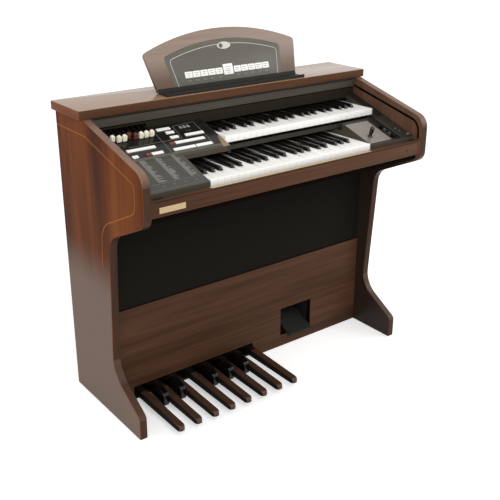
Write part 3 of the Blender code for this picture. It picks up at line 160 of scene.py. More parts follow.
# %% Outlines
def corner_arcs(corners, steps):
    """Points of an outline with rounded corners, as one array.

    Each corner is (u, v, radius). Its arc's centre lies on the line that halves the corner, at
    radius / sin(half angle), and the arc turns evenly from one tangent point to the other.
    """
    table = np.array([(c[0], c[1], c[2] if len(c) > 2 else 1e-5) for c in corners], float)
    here, radius = table[:, :2], table[:, 2:3]
    before = np.roll(here, 1, axis=0) - here
    after = np.roll(here, -1, axis=0) - here
    before /= np.linalg.norm(before, axis=1, keepdims=True)
    after /= np.linalg.norm(after, axis=1, keepdims=True)
    half = np.arccos(np.clip((before * after).sum(1, keepdims=True), -1, 1)) / 2
    middle = before + after
    middle /= np.maximum(np.linalg.norm(middle, axis=1, keepdims=True), 1e-9)
    centre = here + middle * radius / np.sin(half)
    start = here + before * radius / np.tan(half) - centre
    end = here + after * radius / np.tan(half) - centre
    sweep = np.pi - 2 * half
    share = np.linspace(0, 1, steps + 1)[None, :, None]
    sweep = np.maximum(sweep, 1e-6)[:, :, None]
    from_start = np.sin((1 - share) * sweep) * start[:, None]
    from_end = np.sin(share * sweep) * end[:, None]
    return (centre[:, None] + (from_start + from_end) / np.sin(sweep)).reshape(-1, 2)


def rectangle(low_u, high_u, low_v, high_v, radius, steps=3):
    """A rectangle's outline with rounded corners."""
    return corner_arcs([(low_u, low_v, radius), (high_u, low_v, radius), (high_u, high_v, radius),
                        (low_u, high_v, radius)], steps)


def ellipse(u, v, half_u, half_v, count):
    """Points of an ellipse round (u, v), at equal steps of its angle."""
    angle = np.linspace(0, 2 * np.pi, count + 1)[:-1]
    return np.column_stack([u + half_u * np.cos(angle), v + half_v * np.sin(angle)])


def outward(outline):
    """Outward direction at each point, long enough that an inset keeps its width at a corner."""
    ahead = np.roll(outline, -1, axis=0) - outline
    ahead /= np.maximum(np.linalg.norm(ahead, axis=1, keepdims=True), 1e-9)
    behind = np.roll(ahead, 1, axis=0)
    u, v = outline[:, 0], outline[:, 1]
    sign = np.sign((u * np.roll(v, -1) - v * np.roll(u, -1)).sum())
    side = np.stack([ahead[:, 1], -ahead[:, 0]], 1) * sign
    side_behind = np.stack([behind[:, 1], -behind[:, 0]], 1) * sign
    total = side + side_behind
    length = np.maximum((total * total).sum(1, keepdims=True), 0.5)
    return 2 * total / length


# %% Slabs
def slab(outline, low, high, edge, plane="YZ", steps=3):
    """An outline carried across its plane from low to high, with both rims rounded.

    Ring t of a rim is drawn in by edge * (1 - sin t) and lies edge * (1 - cos t) inside the face.
    """
    quarter = np.linspace(0, math.pi / 2, steps + 1)
    inset = edge * (1 - np.sin(quarter))
    depth = edge * (1 - np.cos(quarter))
    insets = np.concatenate([inset, inset[::-1]])
    depths = np.concatenate([low + depth, (high - depth)[::-1]])
    flat = outline[None] - outward(outline)[None] * insets[:, None, None]
    across = np.broadcast_to(depths[:, None], flat.shape[:2])
    u, v = flat[..., 0], flat[..., 1]
    order = {"YZ": (across, u, v), "XZ": (u, across, v), "XY": (u, v, across)}[plane]
    return lofted(np.stack(order, -1))


def moved(points, matrix):
    """Points taken through a 4 by 4 matrix."""
    table = np.array(matrix, float)
    return points @ table[:3, :3].T + table[:3, 3]


def placed(shape, matrix):
    """A shape taken through a 4 by 4 matrix."""
    return moved(shape[0], matrix), shape[1]


def at_height(flat, z):
    """An outline of x and y as a ring at one z."""
    return np.column_stack([flat, np.full(len(flat), z)])


def at_depth(flat, y):
    """An outline of x and z as a ring at one y."""
    return np.column_stack([flat[:, 0], np.full(len(flat), y), flat[:, 1]])


def several(shapes):
    """Many shapes as one: the points stacked, and each shape's faces counted on from the last."""
    starts = np.cumsum([0] + [len(points) for points, _ in shapes])
    faces = []
    for (_, own), start in zip(shapes, starts.tolist()):
        faces += [[index + start for index in face] for face in own]
    return np.concatenate([points for points, _ in shapes]), faces


def lofted(rings):
    """A closed body through rings of equal length: quads between neighbours and a cap at each end."""
    stack = np.asarray(rings)
    rows, count = stack.shape[:2]
    ring, step = np.meshgrid(np.arange(rows - 1), np.arange(count), indexing="ij")
    a = ring * count + step
    b = ring * count + (step + 1) % count
    faces = np.stack([a, b, b + count, a + count], -1).reshape(-1, 4).tolist()
    faces.append(list(range(count))[::-1])
    faces.append(list(range((rows - 1) * count, rows * count)))
    return stack.reshape(-1, 3), faces


def sheet_grid(u_values, v_values, place):
    """An open surface: place(u, v) worked out on the whole grid at once."""
    u, v = np.meshgrid(u_values, v_values, indexing="ij")
    points = np.stack(place(u, v), -1).reshape(-1, 3)
    rows, columns = u.shape
    row, column = np.meshgrid(np.arange(rows - 1), np.arange(columns - 1), indexing="ij")
    a = row * columns + column
    faces = np.stack([a, a + columns, a + columns + 1, a + 1], -1).reshape(-1, 4).tolist()
    return points, faces


# %% Pieces
pieces = bpy.data.collections.new("organ_finish")
scene.collection.children.link(pieces)


def piece(name, shape, looks, body="cabinet", replaces=(), smooth=40.0):
    """Make a mesh object from points and faces, and let it ride on a body (or on none yet).

    Faces with more than four sides are the flat ends of a slab, and they are shaded flat.
    """
    points, faces = shape
    mesh = bpy.data.meshes.new(name)
    mesh.from_pydata(np.asarray(points).tolist(), [], faces)
    shell = bmesh.new()
    shell.from_mesh(mesh)
    bmesh.ops.remove_doubles(shell, verts=shell.verts, dist=1e-6)
    bmesh.ops.recalc_face_normals(shell, faces=shell.faces)
    shell.to_mesh(mesh)
    shell.free()
    for look in looks if isinstance(looks, (list, tuple)) else [looks]:
        mesh.materials.append(look)
    mesh.shade_smooth()
    sides = np.empty(len(mesh.polygons), np.int32)
    mesh.polygons.foreach_get("loop_total", sides)
    mesh.polygons.foreach_set("use_smooth", sides <= 4)
    mesh.set_sharp_from_angle(angle=math.radians(smooth))
    made = bpy.data.objects.new(name, mesh)
    pieces.objects.link(made)
    if body:
        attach(made, body)
    if replaces:
        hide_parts(*replaces)
    return made


def dress(node, look):
    """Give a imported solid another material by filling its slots."""
    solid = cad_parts[node]
    for place in solid.material_slots:
        place.material = look
    if not solid.material_slots:
        solid.data.materials.append(look)


def face_table(made, kind):
    """Every face's "normal" or "center", as rows of three numbers."""
    table = np.empty(len(made.data.polygons) * 3)
    made.data.polygons.foreach_get(kind, table)
    return table.reshape(-1, 3)


def choose_looks(made, chosen):
    """Give each face one of the piece's looks, by the look's number."""
    made.data.polygons.foreach_set("material_index", chosen.astype(np.int32))


SHARP_AFTER_CUT = 12


def cut_out(board, cutter):
    """Cut one piece with another by an exact Boolean, and keep the result as plain points.

    The cut can split a flat face, so every edge that turns by SHARP_AFTER_CUT degrees or more is sharp.
    """
    cut = board.modifiers.new("Cut", "BOOLEAN")
    cut.object = cutter
    cut.solver = "EXACT"
    bpy.context.view_layer.update()
    done = bpy.data.meshes.new_from_object(board.evaluated_get(bpy.context.evaluated_depsgraph_get()))
    print(board.name, "points before and after its cut:", len(board.data.vertices), len(done.vertices))
    done.shade_smooth()
    done.set_sharp_from_angle(angle=math.radians(SHARP_AFTER_CUT))
    board.modifiers.remove(cut)
    board.data = done
    bpy.data.objects.remove(cutter)


# %% [markdown]
# ## Finishes
# A lacquered veneer is not one colour. It has long streaks, a finer grain inside them and pores, and
# the lacquer over it is smooth. We stretch noise along the grain to get all three, and the top and the
# music rest get a thin clear coat as well. Moulded plastics and paints get a very fine ripple and small
# changes of gloss, and cloth gets a woven pattern.

# %% Shader helpers
def tint(red, green, blue):
    """An 8-bit display colour as the linear colour that a shader takes."""
    values = np.array([red, green, blue]) / 255
    linear = np.where(values <= 0.04045, values / 12.92, ((values + 0.055) / 1.055) ** 2.4)
    return (*linear.tolist(), 1.0)


def finish(name, colour, roughness, metallic=0.0, coat=0.0, specular=0.5, index=1.5):
    """A Principled material, ready for more nodes. A low index keeps it dark when seen at a slant."""
    look = bpy.data.materials.new(name)
    look.use_nodes = True
    shader = look.node_tree.nodes["Principled BSDF"]
    values = {"Base Color": tint(*colour), "Roughness": roughness, "Metallic": metallic,
              "Coat Weight": coat, "Coat Roughness": 0.08, "Specular IOR Level": specular, "IOR": index}
    for key, value in values.items():
        shader.inputs[key].default_value = value
    return look


def feed(look, key, source):
    """Link an output to one of the inputs of a finish's shader."""
    look.node_tree.links.new(source, look.node_tree.nodes["Principled BSDF"].inputs[key])


def noise_of(look, scale, detail, stretch=(1, 1, 1)):
    """A noise pattern on the object's own coordinates, stretched by a mapping."""
    tree = look.node_tree
    mapping = add_node(tree, "Mapping", {"Vector": object_place(tree), "Scale": stretch})
    noise = {"Vector": mapping.outputs["Vector"], "Scale": scale, "Detail": detail}
    return add_node(tree, "TexNoise", noise).outputs["Fac"]


def ramp_of(look, source, stops):
    """A colour ramp's output: stops are (position, colour)."""
    ramp = add_node(look.node_tree, "ValToRGB", {"Fac": source})
    band = ramp.color_ramp
    while len(band.elements) < len(stops):
        band.elements.new(0.5)
    for element, (position, colour) in zip(band.elements, stops):
        element.position = position
        element.color = tint(*colour)
    return ramp.outputs["Color"]


def bump_of(look, source, strength, distance):
    """Let a height pattern tilt the surface."""
    bump = add_node(look.node_tree, "Bump", {"Height": source, "Strength": strength, "Distance": distance})
    feed(look, "Normal", bump.outputs["Normal"])


def grey_range(look, source, low, high):
    """Map a pattern's 0.3 to 0.7 onto a roughness range."""
    spread = add_node(look.node_tree, "MapRange", {
        "Value": source, "From Min": 0.3, "From Max": 0.7, "To Min": low, "To Max": high})
    feed(look, "Roughness", spread.outputs["Result"])


# %% Wood
FADED_MOST = 0.96
BOTH_PATTERNS = 1.03
STREAK_SCALE, STREAK_DETAIL, STREAK_STRETCH = 9.0, 4.0, 0.10
GRAIN_SCALE, GRAIN_DETAIL, GRAIN_STRETCH = 90.0, 6.0, 0.035


def faded(look, colour, foot, low, high, axis):
    """Mix a colour towards another one along an axis: most of it at low and beyond, none at high."""
    tree = look.node_tree
    axes = add_node(tree, "SeparateXYZ", {0: object_place(tree)})
    first, last = (FADED_MOST, 0.0) if low < high else (0.0, FADED_MOST)
    amount = add_node(tree, "MapRange", {
        "Value": axes.outputs[axis], "From Min": min(low, high), "From Max": max(low, high),
        "To Min": first, "To Max": last}, interpolation_type="SMOOTHSTEP")
    blend = {"Factor": amount.outputs["Result"], "A": colour, "B": tint(*foot)}
    return add_node(tree, "Mix", blend, data_type="RGBA").outputs["Result"]


def veneer(name, dark, middle, light, along, roughness=0.32, coat=0.0, specular=0.25, foot=None,
           fade=(0.39, 0.56), fade_axis="Z", pores=0.10, grain=0.45, index=1.5):
    """Lacquered veneer: broad streaks mixed with fine grain, both long in the direction of along.

    Grain is the share of the fine pattern, and the broad one has the rest of BOTH_PATTERNS. Pores
    is how deep the fine pattern is. With foot, a colour, the veneer fades to it between the two places
    of fade, which are heights unless an axis is given.
    """
    look = finish(name, middle, roughness, coat=coat, specular=specular, index=index)
    tree = look.node_tree
    streaks = tuple(STREAK_STRETCH if axis == along else 1.0 for axis in "XYZ")
    fibres = tuple(GRAIN_STRETCH if axis == along else 1.0 for axis in "XYZ")
    broad = noise_of(look, STREAK_SCALE, STREAK_DETAIL, streaks)
    fine = noise_of(look, GRAIN_SCALE, GRAIN_DETAIL, fibres)
    broad_share = math_of(tree, "MULTIPLY", broad, BOTH_PATTERNS - grain)
    both = math_of(tree, "MULTIPLY_ADD", fine, grain, broad_share)
    colour = ramp_of(look, both, [(0.36, dark), (0.50, middle), (0.66, light)])
    if foot:
        colour = faded(look, colour, foot, *fade, fade_axis)
    feed(look, "Base Color", colour)
    bump_of(look, fine, pores, 0.0006)
    grey_range(look, fine, roughness - 0.05, roughness + 0.06)
    return look


PANEL_FRONT = 0.016
# The outer faces turn paler and greyer from 0.56 m down to 0.39 m: a painted sheen of the pale floor over the
# veneer's own colour.
side_veneer_and_sheen = veneer("side_veneer_and_sheen", (68, 28, 6), (97, 46, 13), (127, 68, 24), "Z", roughness=0.36,
                     specular=0.08, foot=(122, 105, 94), grain=0.20, index=1.25)
# The inner faces fade to near black below about 0.64 m: painted shade inside the case.
inner_veneer = veneer("inner_veneer", (92, 66, 50), (104, 76, 59), (116, 87, 69), "Z", roughness=0.36,
                      specular=0.10, foot=(46, 36, 30), fade=(0.64, 0.70))
edge_veneer = veneer("edge_veneer", (48, 30, 19), (60, 39, 26), (70, 48, 34), "Z", specular=0.10)
# The upward faces of a side's edge are lighter than the rest of the edge: painted light from above, which
# fades to a darker brown lower down.
shoulder_painted_light = veneer("shoulder_painted_light", (108, 80, 63), (120, 91, 73), (130, 101, 83), "Y",
                         roughness=0.24, specular=0.25, foot=(72, 50, 37), fade=(0.792, 0.836))
# The rounded rims between a side's face and its edge are a lighter orange: a painted highlight.
rim_painted_highlight = veneer("rim_painted_highlight", (110, 62, 34), (122, 70, 40), (134, 80, 48), "Z", specular=0.05)
top_veneer = veneer("top_veneer", (146, 114, 86), (152, 120, 91), (158, 126, 96), "X", roughness=0.18,
                    coat=0.1, specular=0.45, pores=0.0)
top_edge = veneer("top_edge_veneer", (66, 43, 29), (80, 54, 38), (92, 65, 48), "X", roughness=0.36,
                  specular=0.04)
top_end = veneer("top_end_veneer", (112, 66, 42), (129, 80, 55), (144, 92, 66), "Y", specular=0.05,
                 index=1.25)
slip_veneer = veneer("slip_veneer", (66, 44, 32), (80, 54, 40), (92, 64, 48), "X", roughness=0.38,
                     specular=0.04)
# Behind its front face the lower panel turns near black: painted shade on the edges of its openings.
panel_veneer = veneer("panel_veneer", (61, 40, 29), (75, 51, 37), (88, 61, 45), "X", roughness=0.42,
                      specular=0.05, foot=(12, 11, 10), fade=(PANEL_FRONT + 0.0016, PANEL_FRONT + 0.0010),
                      fade_axis="Y")
lid_veneer = veneer("lid_veneer", (56, 51, 45), (66, 61, 54), (76, 71, 63), "X", roughness=0.42,
                    specular=0.15)
rest_veneer = veneer("rest_veneer", (131, 113, 101), (140, 122, 110), (149, 131, 119), "X", roughness=0.3,
                     coat=0.05, foot=(98, 78, 64), fade=(0.96, 1.05), pores=0.04)
raw_board = veneer("raw_board", (96, 74, 54), (120, 96, 72), (140, 116, 90), "Z", roughness=0.85,
                   specular=0.2)
print("materials with the veneers:", len(bpy.data.materials))

# %% Plastics, cloth and metal
GLOSS_SPREAD = 0.05


def moulded(name, colour, roughness, *, ripple, coat=0.0, scale=260.0, specular=0.35):
    """Moulded plastic: one colour, with a fine ripple and small changes of gloss."""
    look = finish(name, colour, roughness, coat=coat, specular=specular)
    bump_of(look, noise_of(look, scale, 2.0), ripple, 0.0004)
    grey_range(look, noise_of(look, 14.0, 4.0), roughness - GLOSS_SPREAD, roughness + GLOSS_SPREAD)
    return look


ivory = moulded("ivory_plastic", (255, 254, 250), 0.24, ripple=0.01, specular=0.5)
ebony = moulded("ebony_plastic", (18, 17, 16), 0.16, ripple=0.02, specular=0.5)
cream = moulded("cream_plastic", (255, 248, 226), 0.24, ripple=0.01, specular=0.5)
brown = moulded("brown_plastic", (104, 58, 44), 0.28, ripple=0.02)
brown_tab = moulded("brown_tab_plastic", (124, 68, 52), 0.28, ripple=0.02)
black_panel = moulded("black_panel_paint", (24, 23, 20), 0.12, ripple=0.01, specular=0.45)
grey_panel = moulded("grey_panel_paint", (88, 87, 81), 0.45, ripple=0.08, scale=420.0, specular=0.3)
lever_grey = moulded("lever_plate_paint", (127, 118, 109), 0.22, ripple=0.01, specular=0.4)
end_paint = moulded("end_plate_paint", (50, 47, 43), 0.30, ripple=0.02, specular=0.2)
slider_grey = moulded("slider_caps", (66, 64, 61), 0.34, ripple=0.02, specular=0.3)
dark_fittings = moulded("dark_fittings", (40, 38, 34), 0.5, ripple=0.08, specular=0.2)
mark_grey = moulded("mark_grey", (140, 138, 134), 0.6, ripple=0.0, specular=0.1)
tan_cheek = moulded("tan_cheek", (150, 122, 92), 0.4, ripple=0.05)
rubber = moulded("rubber", (30, 29, 28), 0.78, ripple=0.25, scale=500.0, specular=0.2)
ledge_plastic = moulded("ledge_plastic", (42, 41, 38), 0.42, ripple=0.08, specular=0.10)
pedal_brown = moulded("pedal_brown", (70, 49, 37), 0.22, ripple=0.03, specular=0.35)
pedal_black = moulded("pedal_black", (20, 17, 14), 0.55, ripple=0.05, specular=0.03)
pedal_gloss = moulded("pedal_gloss", (9, 8, 8), 0.14, ripple=0.02, specular=0.4)
print_white = moulded("print_white", (206, 203, 194), 0.6, ripple=0.0, specular=0.1)
print_grey = moulded("print_grey", (152, 150, 143), 0.6, ripple=0.0, specular=0.1)
print_light = moulded("print_light", (150, 148, 140), 0.6, ripple=0.0, specular=0.1)
# This pale grey serves real print, and on the slider caps a painted highlight.
pale_print_and_highlight = moulded("pale_print_and_highlight", (122, 120, 114), 0.6, ripple=0.0, specular=0.1)
plate_white = moulded("plate_white", (245, 244, 240), 0.5, ripple=0.0, specular=0.2)
felt = moulded("felt", (192, 176, 146), 0.92, ripple=0.5, scale=900.0, specular=0.1)
dark_wood = moulded("dark_stained_board", (38, 34, 27), 0.5, ripple=0.12, specular=0.05)
# The key bed is near black: painted shade under the keyslip.
bed_wood = moulded("bed_wood", (20, 14, 11), 0.9, ripple=0.12, specular=0.0)
shadow_gap = moulded("shadow_gap", (14, 12, 10), 0.8, ripple=0.0, specular=0.05)
bronze = moulded("lock_bronze", (62, 46, 36), 0.4, ripple=0.02)


def brushed(name, colour, roughness):
    """Metal with fine scratches that run along x."""
    look = finish(name, colour, roughness, metallic=1.0)
    lines = noise_of(look, 700.0, 2.0, (0.02, 1.0, 1.0))
    bump_of(look, lines, 0.10, 0.0002)
    grey_range(look, lines, roughness - 0.06, roughness + 0.08)
    return look


gold = brushed("gold_plate", (178, 157, 121), 0.40)
steel = brushed("steel", (168, 168, 166), 0.32)


def woven(name, colour, light):
    """Loudspeaker cloth: two sets of threads crossing, as the product of two fine waves."""
    look = finish(name, colour, 0.95, specular=0.08)
    tree = look.node_tree
    threads = {"Vector": object_place(tree), "Scale": 130.0, "Distortion": 0.6, "Detail Scale": 4.0}
    waves = [add_node(tree, "TexWave", threads, bands_direction=way).outputs["Fac"] for way in "XZ"]
    weave = math_of(tree, "MULTIPLY", *waves)
    feed(look, "Base Color", ramp_of(look, weave, [(0.0, colour), (0.8, light)]))
    bump_of(look, weave, 0.5, 0.0008)
    return look


cloth = woven("speaker_cloth", (16, 14, 11), (38, 34, 29))
print("finishes:", len(bpy.data.materials))

# %% [markdown]
# ## Floor
# The organ stands on a pale floor that runs into the white background. It is a plain plane, and not part of
# the organ. To the camera, in mirrors and through glass, the floor adds a little light of its own, so that it
# is nearly as white as the background and keeps a soft shadow.

# %% Floor
floor_paint = finish("floor_paint", (250, 250, 250), 0.7, specular=0.2)
floor_tree = floor_paint.node_tree
FLOOR_GLOW = 0.44
floor_glow = add_node(floor_tree, "MapRange", {"Value": seen_rays(floor_tree), "To Max": FLOOR_GLOW})
floor_tree.nodes["Principled BSDF"].inputs["Emission Color"].default_value = (1.0, 1.0, 1.0, 1.0)
feed(floor_paint, "Emission Strength", floor_glow.outputs["Result"])
floor_mesh = bpy.data.meshes.new("floor")
floor_steps = np.linspace(-40, 40, 3)
floor_points, floor_faces = sheet_grid(floor_steps, floor_steps, lambda u, v: (u, v, 0 * u - 0.0005))
floor_mesh.from_pydata(floor_points.tolist(), [], floor_faces)
floor_mesh.materials.append(floor_paint)
floor = bpy.data.objects.new("floor", floor_mesh)
scene.collection.objects.link(floor)

# %% [markdown]
# ## The case
# Each side is one board sawn to a flowing outline: a flat top, a shoulder that slopes to a rounded nose,
# a waist and a foot. Its outline comes from nine corners with their own radii, and slab() rounds its
# rims. The groove that guides the lid is cut on the inner face with an exact Boolean, because the
# groove is a real slot that a pin runs in, and it shows in front of the keys.

# %% Side panels
OUTER_FACE, INNER_FACE = 0.534, 0.509
NOSE, BACK, TOP = -0.2455, 0.2385, 0.9147
SIDE_ROUNDING = 0.0025
side_line = corner_arcs([
    (BACK, 0.0, 0.002), (BACK, TOP, 0.001), (0.0679, TOP, 0.004), (NOSE, TOP - 0.0857, 0.045),
    (NOSE, 0.6916, 0.040), (-0.0486, 0.6007, 0.060), (-0.0195, 0.161, 0.090), (-0.1655, 0.0735, 0.020),
    (-0.1655, 0.0, 0.002)], 14)
LID_SLOPE = 0.2438
GROOVE_HALF, GROOVE_END, GROOVE_BEND = 0.004, 0.0035, 0.040
GROOVE_FRONT, GROOVE_FOOT, GROOVE_PAST_PIN = -0.229, 0.760, 0.02
GROOVE_DEPTH, CUTTER_OVERRUN = 0.007, 0.01
pin_y, pin_z = 0.0795, 0.8882


def groove_line(side):
    """One edge of the groove: down, round the bend, and up the shoulder, half a slot from its middle."""
    turn_by = math.atan(LID_SLOPE)
    rear_y = pin_y + GROOVE_PAST_PIN - math.sin(turn_by) * GROOVE_HALF * side
    rear_z = pin_z + GROOVE_PAST_PIN * LID_SLOPE + math.cos(turn_by) * GROOVE_HALF * side
    down = GROOVE_FRONT - GROOVE_HALF * side
    bend = rear_z + (down - rear_y) * LID_SLOPE
    return [(down, GROOVE_FOOT, GROOVE_END), (down, bend, GROOVE_BEND + GROOVE_HALF * side),
            (rear_y, rear_z, GROOVE_END)]


groove = corner_arcs(groove_line(1) + groove_line(-1)[::-1], 10)
board_looks = [side_veneer_and_sheen, edge_veneer, shadow_gap, shoulder_painted_light, rim_painted_highlight, inner_veneer]
ON_SIDE, ON_EDGE, IN_GROOVE, ON_LIT_SHOULDER, ON_RIM_HIGHLIGHT, ON_INSIDE = range(len(board_looks))
for name, toward in (("left_side", -1), ("right_side", 1)):
    low, high = sorted((INNER_FACE * toward, OUTER_FACE * toward))
    board = piece(name, slab(side_line, low, high, SIDE_ROUNDING), board_looks,
                  replaces=(name + "_panel",), smooth=50)
    # Rim faces take the painted highlight, and upward faces of the edge take painted light.
    normals = face_table(board, "normal")
    across, upwards = normals[:, 0] * toward, normals[:, 2]
    choose_looks(board, np.select([across > 0.9, across < -0.9, across > 0.3, upwards > 0.1],
                                  [ON_SIDE, ON_INSIDE, ON_RIM_HIGHLIGHT, ON_LIT_SHOULDER], ON_EDGE))
    low, high = sorted(((INNER_FACE - CUTTER_OVERRUN) * toward, (INNER_FACE + GROOVE_DEPTH) * toward))
    cutter = piece(name + "_cutter", slab(groove, low, high, 0.0001), board_looks)
    choose_looks(cutter, np.full(len(cutter.data.polygons), IN_GROOVE))
    cut_out(board, cutter)
print("side outline points:", len(side_line))

# %% [markdown]
# A thin gold line is inlaid in each side, about four centimetres in from the shoulder. It is a flat
# ribbon: the path is a line with rounded corners, with a row of points on each side of it and two more
# just above those.

# %% Inlaid line
def even_path(corners, count):
    """Samples of an open line with rounded corners, at equal distances walked along it."""
    table = corner_arcs(corners, 8)
    walked = np.concatenate([[0], np.cumsum(np.linalg.norm(np.diff(table, axis=0), axis=1))])
    places = np.linspace(0, walked[-1], count)
    return np.column_stack([np.interp(places, walked, table[:, 0]), np.interp(places, walked, table[:, 1])])


def ribbon(path, width, normal, thick):
    """A flat strip along a path: four rows of points, beside the path and a little above the surface."""
    path = np.asarray(path, float)
    ahead = np.gradient(path, axis=0)
    ahead /= np.maximum(np.linalg.norm(ahead, axis=1, keepdims=True), 1e-9)
    normal = np.broadcast_to(np.asarray(normal, float), path.shape)
    beside = np.cross(normal, ahead) * (width / 2)
    lift = normal * thick
    return lofted(np.stack([path - beside, path - beside + lift, path + beside + lift, path + beside], 1))


INLAY_CORNERS = [(0.2340, 0.8736), (0.0557, 0.8705, 0.015), (-0.2035, 0.7989, 0.021),
                 (-0.2025, 0.7204, 0.035), (-0.0072, 0.6283, 0.080), (0.0028, 0.4900)]
INLAY_WIDTH, INLAY_THICKNESS, INLAY_SINK = 0.0022, 0.0003, 0.0001
inlay_paint = finish("inlay_gold", (172, 108, 52), 0.5, specular=0.04)
line = even_path(INLAY_CORNERS, 220)
for name, toward in (("left_inlay", -1), ("right_inlay", 1)):
    path = np.column_stack([np.full(len(line), (OUTER_FACE - INLAY_SINK) * toward), line])
    piece(name, ribbon(path, INLAY_WIDTH, (toward, 0, 0), INLAY_THICKNESS), inlay_paint)
print("inlaid line:", len(line), "places")

# %% [markdown]
# The top is a thick veneered board with all its edges rounded. It overhangs the sides by a centimetre.

# %% Top board
TOP_HALF, TOP_FRONT, TOP_BACK = 0.544, 0.0645, 0.2455
TOP_UNDERSIDE, TOP_HEIGHT = 0.915, 0.941
top_line = rectangle(-TOP_HALF, TOP_HALF, TOP_FRONT, TOP_BACK, 0.004, 4)
top = piece("top", slab(top_line, TOP_UNDERSIDE, TOP_HEIGHT, 0.003, "XY", 4),
            [top_veneer, top_edge, top_end], replaces=("top_board",))
ON_TOP, ON_LONG_EDGE, ON_END = range(3)
normals = face_table(top, "normal")
facing_up, facing_ends = normals[:, 2] > 0.8, np.abs(normals[:, 0]) > 0.6
choose_looks(top, np.select([facing_up, facing_ends], [ON_TOP, ON_END], ON_LONG_EDGE))
print("top:", 2 * TOP_HALF, "m wide")

# %% [markdown]
# The boards between the sides keep their solids, because their shapes are plain. They get their veneer,
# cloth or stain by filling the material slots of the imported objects.

# %% Carried boards
CARRIED = {
    "lower_front_panel": panel_veneer, "back_panel": raw_board, "key_bed": bed_wood,
    "speaker_cloth": cloth, "speaker_baffle": dark_wood, "rear_fascia": dark_wood,
    "woofer": steel, "amplifier": steel, "mains_inlet": rubber, "pedal_frame": dark_fittings,
    "treadle_housing": dark_fittings, "lower_key_frame": dark_fittings, "lid_lock": bronze,
    "name_plate": gold, "lid_bumper_left": rubber, "lid_bumper_right": rubber,
    "music_rest_ledge": ledge_plastic,
}
for name, look in CARRIED.items():
    dress(name, look)
print("solids kept as they are:", len(CARRIED))

# %% [markdown]
# The keyslip is the long moulding in front of the lower keys. Its narrow top carries a strip of pale
# felt where the keys end, and a ledge behind it closes the gap under the key fronts. A fine dark line of
# painted shade runs along the top of its face and down beside the lock.

# %% Keyslip
SLIP_HALF, SLIP_FRONT, SLIP_BACK, LEDGE_BACK = 0.5087, -0.2425, -0.2265, -0.2115
SLIP_FOOT, SLIP_TOP, LEDGE_LOW, LEDGE_HIGH = 0.7106, 0.7575, 0.7455, 0.7515
SHADE_LINE_END, SHADE_LINE_HEIGHT, SHADE_LINE_FOOT = 0.4990, 0.7538, 0.7165
slip_line = corner_arcs([
    (SLIP_FRONT, SLIP_FOOT, 0.003), (SLIP_BACK, SLIP_FOOT, 0.001), (SLIP_BACK, LEDGE_LOW, 0.0005),
    (LEDGE_BACK, LEDGE_LOW, 0.0005), (LEDGE_BACK, LEDGE_HIGH, 0.0008), (SLIP_BACK, LEDGE_HIGH, 0.0005),
    (SLIP_BACK, SLIP_TOP, 0.0012), (SLIP_FRONT, SLIP_TOP, 0.003)], 4)
piece("slip", slab(slip_line, -SLIP_HALF, SLIP_HALF, 0.0006), slip_veneer,
      replaces=("keyslip",))
# The two dark ribbons are painted shade: one along the top of the face, one down beside the lock.
corner = (SHADE_LINE_END, SLIP_FRONT, SHADE_LINE_HEIGHT)
for name, start in (("slip_line", (-SHADE_LINE_END, SLIP_FRONT, SHADE_LINE_HEIGHT)),
                    ("slip_line_end", (SHADE_LINE_END, SLIP_FRONT, SHADE_LINE_FOOT))):
    piece(name, ribbon([start, corner], 0.0016, (0, -1, 0), 0.0002), shadow_gap)
felt_strip = slab(rectangle(-0.3175, 0.2850, -0.2406, -0.2278, 0.0004), 0.7571, 0.7580, 0.0003, "XY", 2)
piece("slip_felt", felt_strip, felt)
print("keyslip:", round(SLIP_TOP - SLIP_FOOT, 4), "m high")

# %% [markdown]
# ## The manuals
# A natural is a notched outline: a wide head in front, and a tail that narrows where a sharp stands
# beside it. A sharp is a tapered block with a sloping front. All keys of a kind on one manual hang on
# one hinge in this model, so they are one piece.

# %% Key places
PITCH, KEYS, KEY_GAP = 0.0235, 26, 0.0007
KEY_HEIGHT, HEAD_LENGTH, KEY_LENGTH = 0.021, 0.050, 0.241
SHARP_RISE, SHARP_START, SHARP_END = 0.0105, 0.0515, 0.2335
BESIDE_SHARP = 0.0065
SPINE_MARGIN, SPINE_START, SPINE_END = 0.001, 0.236, 0.2415
SHARP_BAR_START, SHARP_BAR_END = 0.224, 0.232
SHARP_PLACES = {0: 0.90, 1: 2.10, 3: 3.86, 4: 5.00, 5: 6.14}
FIRST_DEGREE = 3


def sharp_centres(first):
    """X of each sharp: its place in its octave, counted in naturals from the octave's first key."""
    found = []
    for key in range(KEYS - 1):
        octave, degree = divmod(key + FIRST_DEGREE, 7)
        if degree in SHARP_PLACES:
            found.append(first + (SHARP_PLACES[degree] + 7 * octave - FIRST_DEGREE) * PITCH)
    return np.array(found)


def natural_outline(low, high, centres, front, notch, end):
    """A key seen from above, with a notch where a sharp's side gap reaches past its edge."""
    beside = centres[(centres > low - BESIDE_SHARP) & (centres < high + BESIDE_SHARP)]
    left = max([low] + [x + BESIDE_SHARP for x in beside if x < (low + high) / 2])
    right = min([high] + [x - BESIDE_SHARP for x in beside if x > (low + high) / 2])
    corners = [(low, front, 0.0012), (high, front, 0.0012)]
    corners += [(high, notch, 0.0006), (right, notch, 0.0004)] if right < high else []
    corners += [(right, end, 0.0003), (left, end, 0.0003)]
    corners += [(left, notch, 0.0004), (low, notch, 0.0006)] if left > low else []
    return corner_arcs(corners, 3)


def sharp_block(x, front, end, bottom, base, top):
    """A sharp: rounded rectangles stacked upwards, narrower and set back towards the top.

    Each level is its height, half its width and how far its front is set back.
    """
    levels = [(bottom, 0.0055, 0.0), (base, 0.0055, 0.0), (top - 0.0025, 0.0049, 0.0045),
              (top - 0.0010, 0.0046, 0.0060), (top - 0.0003, 0.0041, 0.0070), (top, 0.0032, 0.0082)]
    return lofted([at_height(rectangle(x - half, x + half, front + back, end, 0.0012, 3), z)
                   for z, half, back in levels])


